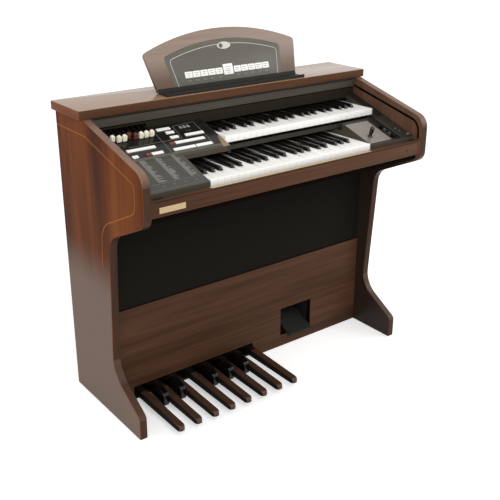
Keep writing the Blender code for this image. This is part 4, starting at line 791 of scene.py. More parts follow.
# %% Keys
def manual(prefix, first, front, top):
    """One manual: every natural as a rounded slab, and every sharp as a tapered block.

    A spine joins the naturals at their rear ends, and a bar joins the sharps, both out of sight.
    """
    centres = sharp_centres(first)
    notch, end = front + HEAD_LENGTH, front + KEY_LENGTH
    lows = first + np.arange(KEYS) * PITCH + KEY_GAP / 2
    naturals = [slab(natural_outline(low, low + PITCH - KEY_GAP, centres, front, notch, end),
                     top - KEY_HEIGHT, top, 0.0009, "XY", 3) for low in lows]
    spine_line = rectangle(first + SPINE_MARGIN, first + KEYS * PITCH - SPINE_MARGIN,
                           front + SPINE_START, front + SPINE_END, 0.0005)
    spine = slab(spine_line, top - 0.020, top - 0.001, 0.0003, "XY", 1)
    piece(prefix + "_white_keys", several(naturals + [spine]), ivory, prefix + "_naturals",
          (prefix + "_naturals",))
    sharps = [sharp_block(x, front + SHARP_START, front + SHARP_END, top - KEY_HEIGHT, top, top + SHARP_RISE)
              for x in centres]
    bar_line = rectangle(centres[0], centres[-1], front + SHARP_BAR_START, front + SHARP_BAR_END, 0.0005)
    bar = slab(bar_line, top + 0.0016, top + 0.009, 0.0003, "XY", 1)
    piece(prefix + "_black_keys", several(sharps + [bar]), ebony, prefix + "_sharps",
          (prefix + "_sharps",))
    print(prefix, "manual:", len(naturals), "naturals,", len(sharps), "sharps")


LOWER_FRONT = -0.2095
manual("lower", -0.2999, LOWER_FRONT, 0.7703)
manual("upper", -0.1354, -0.0515, 0.8323)

# %% [markdown]
# ## Sloping panels
# The controls sit on a plane that rises towards the back. Every tab, line and plate on it is made flat
# in the panel's own coordinates and then taken through one matrix, so all of them lie on the slope.

# %% Panel plane
RISE = 0.33
PANEL_SLOPE = math.atan(RISE)
PANEL_FOOT = 0.766
panel = np.array(Matrix.Translation((0, LOWER_FRONT, PANEL_FOOT)) @ Matrix.Rotation(PANEL_SLOPE, 4, "X"))
print("the panels slope by", round(math.degrees(PANEL_SLOPE), 1), "degrees")


def up_panel(y):
    """Distance up the slope for a place given by its y."""
    return float((y - LOWER_FRONT) / math.cos(PANEL_SLOPE))


# %% Tab shape
TAB_PITCH = 0.0092
TAB_WIDTH, TAB_DEPTH, TAB_HEIGHT, TAB_DIP = 0.0088, 0.011, 0.0033, 0.0006
TAB_LEVELS = ((-0.0075, 0.0), (0.0018, 0.0), (0.0027, 0.0003), (0.0032, 0.0010), (TAB_HEIGHT, 0.0018))
ROWS = {"first": 0.0500, "second": 0.0295, "third": 0.0045, "fourth": -0.0230, "fifth": -0.0530}
BANKS = {
    "tabs_left": [("fourth", -0.4475, 10, 0), ("fifth", -0.4470, 2, 0), ("fifth", -0.4035, 6, 2)],
    "tabs_centre": [("first", -0.3067, 5, 0), ("second", -0.2876, 3, 0), ("third", -0.2880, 3, 0)],
    "tabs_right_upper": [("third", -0.2369, 7, 0), ("fourth", -0.3075, 13, 2)],
    "tabs_right_lower": [("fifth", -0.3130, 8, 0), ("fifth", -0.2365, 6, 0)],
}


def tab_shape(x, front):
    """One tab: a rounded block whose top dips slightly in the middle, as a rocker does.

    The dip is a cosine along the tab, and it grows with the height from the slope to the top.
    """
    rings = []
    for z, inset in TAB_LEVELS:
        flat = rectangle(x + inset, x + TAB_WIDTH - inset, front + inset, front + TAB_DEPTH - inset,
                         0.0008, 2)
        rings.append(at_height(flat, z))
    points, faces = lofted(rings)
    along = (points[:, 1] - front - TAB_DEPTH / 2) / TAB_DEPTH
    points[:, 2] -= TAB_DIP * np.clip(points[:, 2] / TAB_HEIGHT, 0, 1) * np.cos(along * math.pi)
    return placed((points, faces), panel)


# %% [markdown]
# The three blocks under the slope and the frame of the upper keys are painted: gloss black or matt grey
# on the slope, and a lighter warm grey on their upright faces. The paint itself finds out where it is:
# on the slope, and only there, z less the rise times y is at its largest, so a comparison of that sum
# chooses the colour and the gloss.

# %% Painted blocks
SLOPE_LEVEL = PANEL_FOOT - RISE * LOWER_FRONT
LEVEL_TOLERANCE = 0.0004
UPRIGHT_ROUGHNESS = 0.45


def painted_slope(name, on_slope, gloss, upright, behind=-1.0, inner=None):
    """Two paints in one material, chosen by height under the slope and by the distance from the front.

    The slope's paint starts behind a given y. With inner = (x, y), everything beyond both is painted
    like the slope too.
    """
    look = finish(name, upright, UPRIGHT_ROUGHNESS, specular=0.18)
    tree = look.node_tree
    axes = add_node(tree, "SeparateXYZ", {0: object_place(tree)}).outputs
    level = math_of(tree, "MULTIPLY_ADD", axes["Y"], -RISE, axes["Z"])
    on_it = math_of(tree, "GREATER_THAN", level, SLOPE_LEVEL - LEVEL_TOLERANCE)
    chosen = math_of(tree, "MINIMUM", on_it, math_of(tree, "GREATER_THAN", axes["Y"], behind))
    if inner:
        past = [math_of(tree, "GREATER_THAN", axes[axis], limit) for axis, limit in zip("XY", inner)]
        chosen = math_of(tree, "MAXIMUM", chosen, math_of(tree, "MINIMUM", *past))
    feed(look, "Base Color", ramp_of(look, chosen, [(0.0, upright), (1.0, on_slope)]))
    shine = add_node(tree, "MapRange", {"Value": chosen, "To Min": UPRIGHT_ROUGHNESS, "To Max": gloss})
    feed(look, "Roughness", shine.outputs["Result"])
    bump_of(look, noise_of(look, 420.0, 2.0), 0.04, 0.0004)
    return look


BLACK, GREY, WARM = (29, 28, 26), (75, 73, 68), (73, 66, 56)
PAINTED = {
    "upper_left_panel": painted_slope("upper_panel_paint", BLACK, 0.14, WARM, behind=-0.0571),
    "lower_left_panel": painted_slope("lower_panel_paint", GREY, 0.42, WARM),
    # The end block's slope is near black where the sliders' recess lies between the plates: the recess's own
    # black with painted shade.
    "right_end_block": painted_slope("end_block_paint", (20, 19, 17), 0.30, WARM, inner=(0.3122, -0.2085)),
    "upper_key_frame": painted_slope("key_frame_paint", (34, 32, 28), 0.30, (60, 59, 50)),
}
for name, look in PAINTED.items():
    dress(name, look)
print("painted solids:", len(PAINTED))

# %% Plates on the slope
JUST_ABOVE = 0.00005
PLATE_ROUNDING = 0.0003


def on_panel(name, low_x, high_x, low_y, high_y, high, look, corner=0.001):
    """A flat plate or strip on the slope, between two x and two y, standing a little above it."""
    flat = rectangle(low_x, high_x, up_panel(low_y), up_panel(high_y), corner, 4)
    edge = min(PLATE_ROUNDING, high * 0.4)
    return piece(name, placed(slab(flat, JUST_ABOVE, high, edge, "XY", 2), panel), look)


on_panel("front_strip", -0.5080, -0.1440, -0.0668, -0.0571, 0.0003, grey_panel)
on_panel("left_cheek_strip", -0.1421, -0.1358, -0.0752, -0.0200, 0.0004, tan_cheek, 0.0006)
WEDGE_CORNERS = ((-0.1435, -0.0184), (-0.1598, -0.0747), (-0.1428, -0.0747))
wedge = corner_arcs([(x, up_panel(y), 0.0004) for x, y in WEDGE_CORNERS], 2)
piece("cheek_wedge", placed(slab(wedge, JUST_ABOVE, 0.0005, 0.0001, "XY", 1), panel), tan_cheek)
on_panel("end_plate", 0.4540, 0.5080, -0.2070, -0.0790, 0.0006, end_paint)
lever_plate = on_panel("lever_plate", 0.3130, 0.4125, -0.2040, -0.0900, 0.0010, lever_grey)
LEVER_FOOT = (0.3481, -0.1695, 0.7792)
WELL_RADIUS, WELL_CUT = 0.0088, 0.004
well = ellipse(LEVER_FOOT[0], up_panel(LEVER_FOOT[1]), WELL_RADIUS, WELL_RADIUS, 32)
well_shape = placed(slab(well, -WELL_CUT, WELL_CUT, 0.0001, "XY", 1), panel)
cut_out(lever_plate, piece("well_cutter", well_shape, lever_grey))

# %% [markdown]
# ### Printed lines and marks
# The panels are printed with thin lines and rows of small marks. Each is a stroke, which is a ribbon
# between two points of the slope. The lengths of the strokes in a list come from a wave, so that the
# list has the uneven right edge of a printed one.

# %% Print
def stroke(start, end, width):
    """A printed stroke between two (x, y) places, lying on the slope."""
    path = [(start[0], up_panel(start[1]), JUST_ABOVE), (end[0], up_panel(end[1]), JUST_ABOVE)]
    return placed(ribbon(path, width, (0, 0, 1), 0.0001), panel)


def polyline(places, width):
    """Strokes through several places in turn."""
    return [stroke(start, end, width) for start, end in zip(places, places[1:])]


def level_strokes(rows):
    """Strokes across the panel: rows of (left x, right x, y, width)."""
    return [stroke((left, y), (right, y), width) for left, right, y, width in rows]


def raised(shapes):
    """Shapes of the slope as one, lifted by the thickness of a plate."""
    return several([(points + (0, 0, 0.0007), faces) for points, faces in shapes])


def uneven(count, phase):
    """Numbers from 0 to 1: half a sine and a half, of an angle that grows faster than the count."""
    return 0.5 + 0.5 * np.sin(np.arange(count) ** 1.6 * 2.3 + phase)


LINE_WIDTH = 0.0009

# %% Print on the upper panel
panel_lines = polyline([(-0.4300, -0.0005), (-0.2527, -0.0005)], LINE_WIDTH)
panel_lines += polyline([(-0.2538, 0.0000), (-0.2473, 0.0630), (-0.1697, 0.0688), (-0.1783, -0.0552)],
                        LINE_WIDTH)
panel_lines += polyline([(-0.3174, 0.0517), (-0.3214, -0.0017), (-0.3242, -0.0560)], LINE_WIDTH)
for row, left, count, _ in [entry for rows in BANKS.values() for entry in rows]:
    ahead = ROWS[row] - 0.0032
    starts = left + np.arange(count) * TAB_PITCH + 0.0016
    ends = starts + 0.0028 + 0.0030 * uneven(count, ahead * 400)
    panel_lines += level_strokes([(start, end, ahead, 0.0008) for start, end in zip(starts, ends)])
piece("upper_print", several(panel_lines), print_light)
print("strokes on the upper panel:", len(panel_lines))

# %% Print on the lower panel and the end plate
LIST_ROWS, LIST_STROKE = 24, 0.0021
lists = []
for column, left in enumerate((-0.4400, -0.3900, -0.3370)):
    lengths = 0.010 + 0.016 * uneven(LIST_ROWS, column * 1.7) * np.linspace(0.55, 1.0, LIST_ROWS)
    rows = np.linspace(-0.0650, -0.1690, LIST_ROWS)
    lists += level_strokes([(left, left + length, y, LIST_STROKE) for y, length in zip(rows, lengths)])
piece("lower_lists", several(lists), print_grey)
lower_lines = polyline([(-0.4667, -0.1760), (-0.3188, -0.1760)], LINE_WIDTH)
lower_lines += polyline([(-0.4826, -0.2010), (-0.3159, -0.2010), (-0.3196, -0.0650)], LINE_WIDTH)
for x in (-0.4353, -0.4027, -0.3655, -0.3317):
    lower_lines += level_strokes([(x - 0.005, x + 0.005, -0.1872, 0.0012),
                                  (x - 0.003, x + 0.004, -0.1905, 0.0012)])
piece("lower_print", several(lower_lines), pale_print_and_highlight)
end_marks = level_strokes([(0.4762, 0.4812, -0.1566, 0.0020), (0.4807, 0.4837, -0.1709, 0.0016),
                           (0.4925, 0.5050, -0.1937, 0.0016), (0.4945, 0.5015, -0.1968, 0.0014)])
piece("end_print", raised(end_marks), print_white)
print("strokes in the lists:", len(lists))

# %% [markdown]
# The small window in the upper panel shows three figures. Each is drawn as the seven bars that such
# displays light, all of them on.

# %% Display
HALF_FIGURE, BAR_GAP = 0.0035, 0.0006
FIGURE_LOW, FIGURE_MIDDLE, FIGURE_HIGH = 0.0455, 0.0506, 0.0557
on_panel("display_window", -0.2360, -0.1905, 0.0425, 0.0590, 0.0006, black_panel)
bars = []
for x in (-0.2265, -0.2132, -0.1999):
    left, right = x - HALF_FIGURE, x + HALF_FIGURE
    bars += level_strokes([(left, right, y, 0.0013) for y in (FIGURE_LOW, FIGURE_MIDDLE, FIGURE_HIGH)])
    for side in (left, right):
        bars.append(stroke((side, FIGURE_LOW + BAR_GAP), (side, FIGURE_MIDDLE - BAR_GAP), 0.0014))
        bars.append(stroke((side, FIGURE_MIDDLE + BAR_GAP), (side, FIGURE_HIGH - BAR_GAP), 0.0014))
piece("display_figures", raised(bars), print_white)
under_marks = level_strokes([(x, x + 0.0065, y, LINE_WIDTH) for x, y in ((-0.2200, 0.0330), (-0.2085, 0.0330),
                                                                         (-0.2130, 0.0285))])
piece("display_marks", several(under_marks), pale_print_and_highlight)
print("bars of the display:", len(bars))

# %% [markdown]
# ### Tabs
# The white and brown tabs are small rockers on four hidden chassis. Each is a stack of rounded
# rectangles, smaller towards the top, with a shallow dip where a finger rests.

# %% Tabs
for bank, rows in BANKS.items():
    white, dark = [], []
    for row, left, count, browns in rows:
        front = up_panel(ROWS[row])
        shapes = [tab_shape(left + index * TAB_PITCH, front) for index in range(count)]
        dark += shapes[:browns]
        white += shapes[browns:]
    piece(bank + "_caps", several(white), ivory, bank, (bank,))
    if dark:
        piece(bank + "_brown_caps", several(dark), brown_tab, bank)
print("tabs:", sum(count for rows in BANKS.values() for _, _, count, _ in rows))

# %% [markdown]
# ### Drawbars
# Eight drawbars slide towards the player, each a knob with an arched top on a flat stem. Two are brown,
# and two stand a little further in, as they were left when the organ was photographed.

# %% Drawbars
DRAWBARS, FIRST_DRAWBAR, DRAWBAR_PITCH = 8, -0.3369, 0.0177
KNOB_HALF, KNOB_LOW, KNOB_HIGH = 0.0067, 0.0010, 0.0205
PUSHED_IN = {4: 0.008, 7: 0.006}
for index in range(DRAWBARS):
    x = FIRST_DRAWBAR - index * DRAWBAR_PITCH
    rest = up_panel(0.0345) + PUSHED_IN.get(index, 0.0)
    arch = corner_arcs([(x - KNOB_HALF, KNOB_LOW, 0.0012), (x + KNOB_HALF, KNOB_LOW, 0.0012),
                        (x + KNOB_HALF, KNOB_HIGH, 0.0062), (x - KNOB_HALF, KNOB_HIGH, 0.0062)], 6)
    knob = slab(arch, rest - 0.0060, rest + 0.0040, 0.0014, "XZ", 4)
    stem_line = rectangle(x - 0.004, x + 0.004, rest + 0.003, rest + 0.1105, 0.0004, 2)
    stem = slab(stem_line, 0.0045, 0.0085, 0.0004, "XY", 1)
    look, slot = (brown, "brown_knob") if index in (3, 4) else (cream, "cream")
    name = f"drawbar_{index + 1}"
    piece(name + "_knob", placed(knob, panel), look, name, (name,))
    piece(name + "_stem", placed(stem, panel), shadow_gap, name)
print("drawbars:", DRAWBARS)

# %% [markdown]
# ### Lever and sliders
# The lever is a turned capsule, square to the slope: narrower at the foot, round at the top, on a ball in
# the panel. A turned shape is a profile carried round an axis, so its rings are all circles.

# %% Lever
def turned(profile, centre):
    """A body of circles round the vertical through centre: profile rows are (radius, height)."""
    return lofted([at_height(ellipse(centre[0], centre[1], radius, radius, 32), centre[2] + height)
                   for radius, height in profile])


CAP_RADIUS, CAP_HEIGHT, BALL_RADIUS = 0.0074, 0.0294, 0.0075
quarter = np.linspace(0, math.pi / 2, 8)
capsule = [(0.0050, 0.0), (0.0052, 0.007), (0.0059, 0.011), (0.0067, 0.015), (0.0071, 0.020), (0.0073, 0.026)]
capsule += zip(np.maximum(CAP_RADIUS * np.cos(quarter), 0.0002), CAP_HEIGHT + CAP_RADIUS * np.sin(quarter))
half_turn = np.linspace(-math.pi / 2 + 0.05, math.pi / 2 - 0.05, 14)
ball = zip(BALL_RADIUS * np.cos(half_turn), BALL_RADIUS * np.sin(half_turn))
away_from_foot = Matrix.Translation([-part for part in LEVER_FOOT])
lean_lever = Matrix.Translation(LEVER_FOOT) @ Matrix.Rotation(PANEL_SLOPE, 4, "X") @ away_from_foot
lever_shape = several([placed(turned(capsule, LEVER_FOOT), lean_lever), turned(ball, LEVER_FOOT)])
piece("lever", lever_shape, ebony, "bend_lever", ("bend_lever",))
print("lever:", round(CAP_HEIGHT + CAP_RADIUS, 4), "m long")

# %% Sliders
SLIDER_X, SLIDER_V = 0.4296, up_panel(-0.164)
CAP_PLACES = (SLIDER_V - 0.011, SLIDER_V + 0.011)
CAP_LEVELS = [(-0.0076, 0.0045, 0.0050), (0.0015, 0.0045, 0.0050), (0.0045, 0.0040, 0.0040),
              (0.0058, 0.0032, 0.0030), (0.0060, 0.0024, 0.0022)]
caps, slider_highlights = [], []
for v in CAP_PLACES:
    rings = []
    for z, half_x, half_v in CAP_LEVELS:
        flat = rectangle(SLIDER_X - half_x, SLIDER_X + half_x, v - half_v, v + half_v, 0.0010, 3)
        rings.append(at_height(flat, z))
    caps.append(lofted(rings))
    # The pale strip on each cap's top is a painted highlight.
    highlight_line = rectangle(SLIDER_X - 0.0022, SLIDER_X + 0.0022, v - 0.0006, v + 0.0006, 0.0003)
    slider_highlights.append(slab(highlight_line, 0.0059, 0.0064, 0.0001, "XY", 1))
runner_line = rectangle(SLIDER_X - 0.0076, SLIDER_X + 0.0076, SLIDER_V - 0.0148, SLIDER_V + 0.0148, 0.0005)
runner = slab(runner_line, -0.0072, -0.0053, 0.0002, "XY", 1)
piece("sliders", placed(several(caps + [runner]), panel), slider_grey, "slider_knobs",
      ("slider_knobs",))
piece("slider_top_highlights", placed(several(slider_highlights), panel), pale_print_and_highlight, "slider_knobs")
print("sliders:", len(caps))

# %% [markdown]
# ## The lid
# A long bar leads the sliding lid, and a pin at each of its ends runs in a side board's groove. Behind
# the bar runs a curtain that disappears under the top.

# %% Lid
BAR_FRONT, BAR_BACK, BAR_LOW, BAR_HIGH, BAR_HALF = 0.0735, 0.0855, 0.8830, 0.9135, 0.5077
PIN_HALF, PIN_START, PIN_REACH = 0.0036, 0.5065, 0.0062
LID_SHADE_HALF, LID_SHADE_Y, LID_SHADE_Z = 0.495, 0.0736, 0.9090
bar_line = corner_arcs([(BAR_FRONT, BAR_LOW, 0.002), (BAR_BACK, BAR_LOW, 0.002), (BAR_BACK, BAR_HIGH, 0.002),
                        (BAR_FRONT, BAR_HIGH, 0.003)], 4)
lid_bar = slab(bar_line, -BAR_HALF, BAR_HALF, 0.001)
pin_line = rectangle(pin_y - PIN_HALF, pin_y + PIN_HALF, pin_z - PIN_HALF, pin_z + PIN_HALF, 0.0034, 4)
pins = [slab(pin_line, *sorted((side * PIN_START, side * (PIN_START + PIN_REACH))), 0.0003)
        for side in (-1, 1)]
piece("lid_bar", several([lid_bar] + pins), lid_veneer, "lid", ("lid_lead_bar",))
# The dark ribbon along the bar's face, near its top, is painted shade.
lid_shade_line = [(-LID_SHADE_HALF, LID_SHADE_Y, LID_SHADE_Z), (LID_SHADE_HALF, LID_SHADE_Y, LID_SHADE_Z)]
piece("lid_bar_line", ribbon(lid_shade_line, 0.0024, (0, -1, 0), 0.0003), shadow_gap, "lid")


def curtain_place(u, v):
    """The curtain: flat along x, and rising with the groove from the bar to under the top."""
    y = 0.0862 + v * 0.0852
    return u, y, pin_z + (y - pin_y) * LID_SLOPE + 0.002


curtain_sheet = sheet_grid(np.linspace(-0.5075, 0.5075, 5), np.linspace(0, 1, 60), curtain_place)
curtain = piece("lid_curtain", curtain_sheet, lid_veneer, None, ("lid_tambour",))
wall = curtain.modifiers.new("Wall", "SOLIDIFY")
wall.thickness = 0.004
wall.offset = -1.0
print("lid: a bar with", len(pins), "pins, and a curtain of", len(curtain.data.polygons), "faces")
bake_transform(curtain)

# %% [markdown]
# ## Music rest
# The board has an arched top and leans back on a shallow tray. It is a slab in its own flat plane,
# turned back by 21 degrees, with a darker panel set into its face.

# %% Music rest
LEAN = math.radians(21.0)
REST_FOOT = (0.0145, 0.1225, 0.9413)
ARCH_POINTS = 28
leaning = np.array(Matrix.Translation(REST_FOOT) @ Matrix.Rotation(-LEAN, 4, "X"))


def arched(half_low, half_high, low, side, arch, radius):
    """A board's outline: straight sides that widen upwards, and a circular arch over them.

    The arch goes through both upper corners and the middle of the top, so its radius is
    (half width squared + rise squared) / (2 * rise).
    """
    rise = arch - side
    bend = (half_high**2 + rise**2) / (2 * rise)
    half_angle = math.asin(half_high / bend)
    angle = np.linspace(half_angle, -half_angle, ARCH_POINTS + 2)[1:-1]
    crown = np.column_stack([bend * np.sin(angle), arch - bend + bend * np.cos(angle)])
    corners = [(-half_low, low, 0.004), (half_low, low, 0.004), (half_high, side, radius)]
    corners += [tuple(point) for point in crown] + [(-half_high, side, radius)]
    return corner_arcs(corners, 6)


rest_line = arched(0.268, 0.291, 0.0046, 0.1235, 0.181, 0.014)
rest = slab(rest_line, 0.0, 0.012, 0.003, "XZ", 4)
piece("rest_board", placed(rest, leaning), rest_veneer, "music_rest", ("music_rest_board",))
inset_look = moulded("rest_inset", (92, 88, 81), 0.4, coat=0.05, ripple=0.05)
inset_line = arched(0.2060, 0.2240, 0.012, 0.1070, 0.1458, 0.010)
inset = slab(inset_line, -0.0006, 0.002, 0.0004, "XZ", 2)
piece("rest_inset", placed(inset, leaning), inset_look, "music_rest")
print("rest board outline points:", len(rest_line))

# %% [markdown]
# A pale line frames the inset at its sides and top, and meets an oval place at its middle. Above the
# ledge stands a row of pale plates, with short strokes on them and under them.

# %% Print on the music rest
def upright_plate(low_u, high_u, low_v, high_v, corner=0.002):
    """A thin plate on the front of the board."""
    return slab(rectangle(low_u, high_u, low_v, high_v, corner, 4), -0.0010, -0.0004, 0.0002, "XZ", 2)


def upright_mark(low_u, high_u, v):
    """A short grey stroke on a pale plate."""
    flat = rectangle(low_u, high_u, v - 0.0007, v + 0.0007, 0.0003, 2)
    return slab(flat, -0.0013, -0.0009, 0.0001, "XZ", 1)


# %% Border of the inset
BORDER_END, BORDER_FOOT, BORDER_CUT = 0.1925, 0.014, 0.020
border = arched(0.1915, 0.2065, 0.0, 0.0955, 0.1290, 0.012)
kept = border[:, 1] > BORDER_CUT
start_row = int(np.argmax(kept & ~np.roll(kept, 1)))
open_line = np.roll(border, -start_row, axis=0)[:int(kept.sum())]
open_line = np.vstack([(BORDER_END, BORDER_FOOT), open_line, (-BORDER_END, BORDER_FOOT)])
front_of_rest = (0, -math.cos(LEAN), math.sin(LEAN))
border_path = moved(at_depth(open_line, -0.0007), leaning)
piece("rest_border", ribbon(border_path, 0.0016, front_of_rest, 0.0002), print_white, "music_rest")
print("border:", len(open_line), "places")

# %% Plates on the music rest
FIRST_PLATE, PLATE_PITCH, PLATE_WIDTH, PLATE_LOW, PLATE_HIGH = 0.022, 0.0285, 0.0268, 0.0362, 0.0555
FIRST_STROKE = 0.0354
plates = [upright_plate(-0.0185, 0.0185, 0.0315, 0.0650)]
marks = [upright_mark(-0.0110, 0.0110, 0.0560), upright_mark(-0.0070, 0.0080, 0.0500)]
marks += [upright_mark(-0.0120, 0.0090, 0.0440), upright_mark(-0.0060, 0.0060, 0.0380)]
for place in range(5):
    u = FIRST_PLATE + place * PLATE_PITCH
    plates.append(upright_plate(u, u + PLATE_WIDTH, PLATE_LOW, PLATE_HIGH))
    plates.append(upright_plate(-u - PLATE_WIDTH, -u, PLATE_LOW, PLATE_HIGH))
    marks += [upright_mark(u + 0.004, u + 0.021, 0.0495), upright_mark(u + 0.006, u + 0.017, 0.0430)]
    marks += [upright_mark(-u - 0.022, -u - 0.005, 0.0495), upright_mark(-u - 0.019, -u - 0.008, 0.0430)]
piece("rest_plates", placed(several(plates), leaning), plate_white, "music_rest")
piece("rest_marks", placed(several(marks), leaning), mark_grey, "music_rest")
strokes_below = []
for side in (1, -1):
    for place in range(5):
        u = (place * PLATE_PITCH + FIRST_STROKE) * side
        strokes_below.append(upright_plate(u - 0.007, u + 0.007, 0.0280, 0.0292, 0.0003))
        strokes_below.append(upright_plate(u - 0.004, u + 0.005, 0.0245, 0.0255, 0.0003))
piece("rest_words", placed(several(strokes_below), leaning), print_light, "music_rest")
print("plates:", len(plates))

# %% Oval place
OVAL_V = 0.1235
for name, u, half_u, half_v, front, look in (
        ("rest_oval", 0.002, 0.0255, 0.0115, -0.0012, print_white),
        ("rest_oval_mark", -0.010, 0.0075, 0.0070, -0.0015, inset_look)):
    oval = slab(ellipse(u, OVAL_V, half_u, half_v, 40), front, -0.0004, 0.0002, "XZ", 2)
    made = piece(name, placed(oval, leaning), look, "music_rest")
    print(made.name, len(made.data.vertices), "points")

# %% [markdown]
# ## Pedals
# The long pedals are bars with a brown cap over black sides. Each is lofted: rounded cross-sections
# follow one another from the nose to the axle, and near the nose they shrink as a quarter circle does.
# The rear end is a flat hook over the axle. The short pedals carry a tall black block with soft edges.

# %% Pedal shapes
PEDAL_NAMES = ("c1", "cs1", "d1", "ds1", "e1", "f1", "fs1", "g1", "gs1", "a1", "as1", "b1", "c2")
PEDAL_STEPS = (0, 0.5, 1, 1.5, 2, 3, 3.5, 4, 4.5, 5, 5.5, 6, 7)
FIRST_PEDAL, PEDAL_PITCH = -0.430, 0.062
AXLE_Y, AXLE_Z, AXLE_SLOT = 0.165, 0.040, 0.0043
HOOK_START, HOOK_END, HOOK_LOW, HOOK_HIGH = 0.150, 0.177, 0.026, 0.052
NOSE_Y, TIP_LENGTH = -0.2365, 0.016
LONG_HALF, SHORT_HALF = 0.012, 0.011


def hook(x, width):
    """The rear end of a pedal: a flat bar with a round-topped slot that drops over the axle."""
    turn_to = np.linspace(0, math.pi, 13)
    arc = np.column_stack([AXLE_Y + AXLE_SLOT * np.cos(turn_to), AXLE_Z + AXLE_SLOT * np.sin(turn_to)])
    rear = [(HOOK_END, HOOK_HIGH), (HOOK_END, HOOK_LOW), (AXLE_Y + AXLE_SLOT, HOOK_LOW)]
    front = [(AXLE_Y - AXLE_SLOT, HOOK_LOW), (HOOK_START, HOOK_LOW), (HOOK_START, HOOK_HIGH)]
    return slab(np.vstack([rear, arc, front]), x - width / 2, x + width / 2, 0.0008, steps=2)


def section(x, y, half, low, high):
    """One cross-section of a bar: flat bottom, and a top with round shoulders."""
    foot = min(0.002, half * 0.4)
    shoulder = min(0.0048, half * 0.98, (high - low) * 0.6)
    flat = corner_arcs([(x - half, low, foot), (x + half, low, foot), (x + half, high, shoulder),
                        (x - half, high, shoulder)], 6)
    return at_depth(flat, y)


def long_pedal(x):
    """Cross-sections from the nose back: width, top and bottom grow as a quarter circle does.

    Over the tip's length, grown is sqrt(1 - (1 - share)^2), and behind it 1.
    """
    near = TIP_LENGTH * (1 - np.cos(np.linspace(0.12, math.pi / 2, 11)))
    rings = []
    for ahead in near.tolist() + [0.030, 0.060, 0.100, 0.170, 0.2225, 0.260, 0.3895]:
        full = min(ahead / TIP_LENGTH, 1.0)
        grown = math.sqrt(max(1 - (1 - full) ** 2, 0.02))
        half = 0.0010 + (LONG_HALF - 0.0010) * grown
        top = 0.0455 + 0.0065 * min(ahead / 0.17, 1.0) - 0.010 * (1 - grown)
        low = HOOK_LOW + 0.005 * (1 - grown)
        rings.append(section(x, NOSE_Y + ahead, half, low, top))
    return lofted(rings)


def short_pedal(x):
    """The block of a short pedal in side view, carried across and rounded generously at its rims."""
    line = corner_arcs([(0.012, 0.0262, 0.001), (0.006, 0.0262, 0.004), (-0.0975, 0.0300, 0.006),
                        (-0.0975, 0.0715, 0.012), (-0.0400, 0.0918, 0.024), (0.0085, 0.0540, 0.010),
                        (0.012, 0.0515, 0.001)], 8)
    return slab(line, x - SHORT_HALF, x + SHORT_HALF, 0.0045, steps=5)


# %% Pedals
PEDAL_SHADE_FROM, CAP_FOOT, NOSE_FOOT = -0.014, 0.0405, 0.033
SIDEWAYS, FORWARDS = 0.93, -0.5
for name, step in zip(PEDAL_NAMES, PEDAL_STEPS):
    x = FIRST_PEDAL + PEDAL_PITCH * step
    node = "pedal_" + name
    if "s" in name:
        bar = slab(rectangle(x - 0.0105, x + 0.0105, 0.004, 0.152, 0.0005), 0.0262, 0.0518, 0.002, "XY", 3)
        shape = several([short_pedal(x), bar, hook(x, 2 * SHORT_HALF)])
        piece("short_" + node, shape, pedal_gloss, node, (node,))
        continue
    made = piece("long_" + node, several([long_pedal(x), hook(x, 2 * LONG_HALF)]), [pedal_brown, pedal_black],
                 node, (node,))
    normals, centres = face_table(made, "normal"), face_table(made, "center")
    on_cap = (centres[:, 2] > CAP_FOOT) & (np.abs(normals[:, 0]) < SIDEWAYS)
    on_nose = (centres[:, 2] > NOSE_FOOT) & (normals[:, 1] < FORWARDS)
    # Towards the panel each long pedal turns black all over: painted shade near the front panel.
    choose_looks(made, ~(on_cap | on_nose) | (centres[:, 1] > PEDAL_SHADE_FROM))
print("pedals:", len(PEDAL_NAMES))

# %% [markdown]
# ## Expression pedal
# The expression pedal is a tilting plate in a box behind the front panel. Its top has rubber ribs
# across it, so that a shoe doesn't slip.

# %% Expression pedal
TREADLE_X, TREADLE_Y, TREADLE_Z = 0.2155, 0.0853, 0.079
HALF_RISE, HALF_RUN = 0.0386, 0.0868
AXLE_RADIUS, AXLE_HALF = 0.004, 0.0725
RIBS, RIB_MARGIN = 15, 0.008
TILT, REACH = math.atan2(HALF_RISE, HALF_RUN), math.hypot(HALF_RISE, HALF_RUN)
treadle_place = Matrix.Translation((TREADLE_X, TREADLE_Y, TREADLE_Z))
treadle_frame = np.array(treadle_place @ Matrix.Rotation(TILT, 4, "X"))
plate_line = rectangle(-0.044, 0.060, -REACH, REACH, 0.004, 4)
plate = placed(slab(plate_line, 0.001, 0.0098, 0.002, "XY", 3), treadle_frame)
axle_line = ellipse(TREADLE_Y, TREADLE_Z, AXLE_RADIUS, AXLE_RADIUS, 32)
axle = slab(axle_line, TREADLE_X - AXLE_HALF, TREADLE_X + AXLE_HALF, 0.0004, steps=1)
piece("treadle_plate", several([plate, axle]), rubber, "treadle", ("treadle",))
ribs = []
for v in np.linspace(-REACH + RIB_MARGIN, REACH - RIB_MARGIN, RIBS).tolist():
    rib_line = rectangle(-0.040, 0.056, v - 0.0022, v + 0.0022, 0.0010, 2)
    ribs.append(slab(rib_line, 0.0095, 0.0110, 0.0005, "XY", 2))
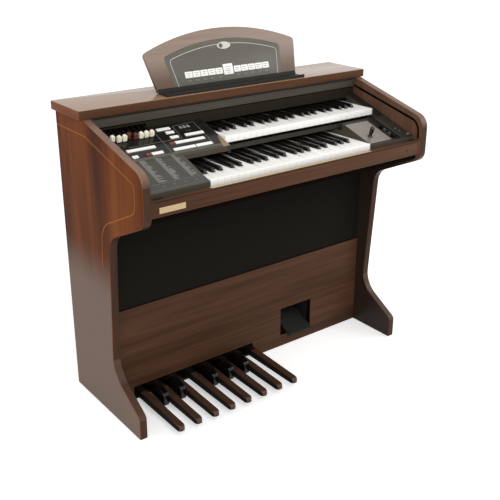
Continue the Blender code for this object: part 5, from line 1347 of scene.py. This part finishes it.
piece("treadle_ribs", placed(several(ribs), treadle_frame), rubber, "treadle")
print("ribs:", len(ribs))

# %% [markdown]
# ## The back
# The back is a thin board screwed on all round, with slots that let the warmth of the amplifier out.
# Each screw is a low dome, and the slot across it and each vent, a slot with rounded ends, are thin dark
# patches of painted shade.

# %% Screws of the back
SCREW_LEVELS = ((0.0042, 0.2384), (0.0042, 0.2388), (0.0036, 0.2395), (0.0022, 0.2399), (0.0003, 0.2400))
screws, screw_slots = [], []
SCREW_COLUMNS = (-0.49, -0.29, -0.10, 0.10, 0.29, 0.49)
SCREW_EDGES, SIDE_SCREWS = (0.050, 0.895), (0.26, 0.47, 0.68)
screw_places = [(x, z) for z in SCREW_EDGES for x in SCREW_COLUMNS]
screw_places += [(x, z) for x in (SCREW_COLUMNS[0], SCREW_COLUMNS[-1]) for z in SIDE_SCREWS]
for x, z in screw_places:
    screws.append(lofted([at_depth(ellipse(x, z, radius, radius, 16), y) for radius, y in SCREW_LEVELS]))
    slot_line = rectangle(x - 0.0032, x + 0.0032, z - 0.0004, z + 0.0004, 0.0002, 1)
    screw_slots.append(slab(slot_line, 0.2392, 0.2401, 0.0001, "XZ", 1))
piece("back_screws", several(screws), steel)
piece("back_screw_slots", several(screw_slots), shadow_gap)
print("screws:", len(screws))

# %% Vents and the pins of the inlet
vents = []
for x in np.linspace(-0.40, -0.18, 12).tolist():
    for z in (0.42, 0.50):
        vent_line = rectangle(x - 0.0045, x + 0.0045, z - 0.030, z + 0.030, 0.0044, 4)
        vents.append(slab(vent_line, 0.2384, 0.2388, 0.0001, "XZ", 1))
piece("back_vents", several(vents), shadow_gap)
inlet_pins = []
for x, z in ((0.3745, 0.118), (0.3800, 0.122), (0.3855, 0.118)):
    blade = rectangle(x - 0.0012, x + 0.0012, z - 0.003, z + 0.003, 0.0003, 1)
    inlet_pins.append(slab(blade, 0.2235, 0.2365, 0.0002, "XZ", 1))
piece("inlet_pins", several(inlet_pins), steel)
print("vents:", len(vents), "inlet pins:", len(inlet_pins))
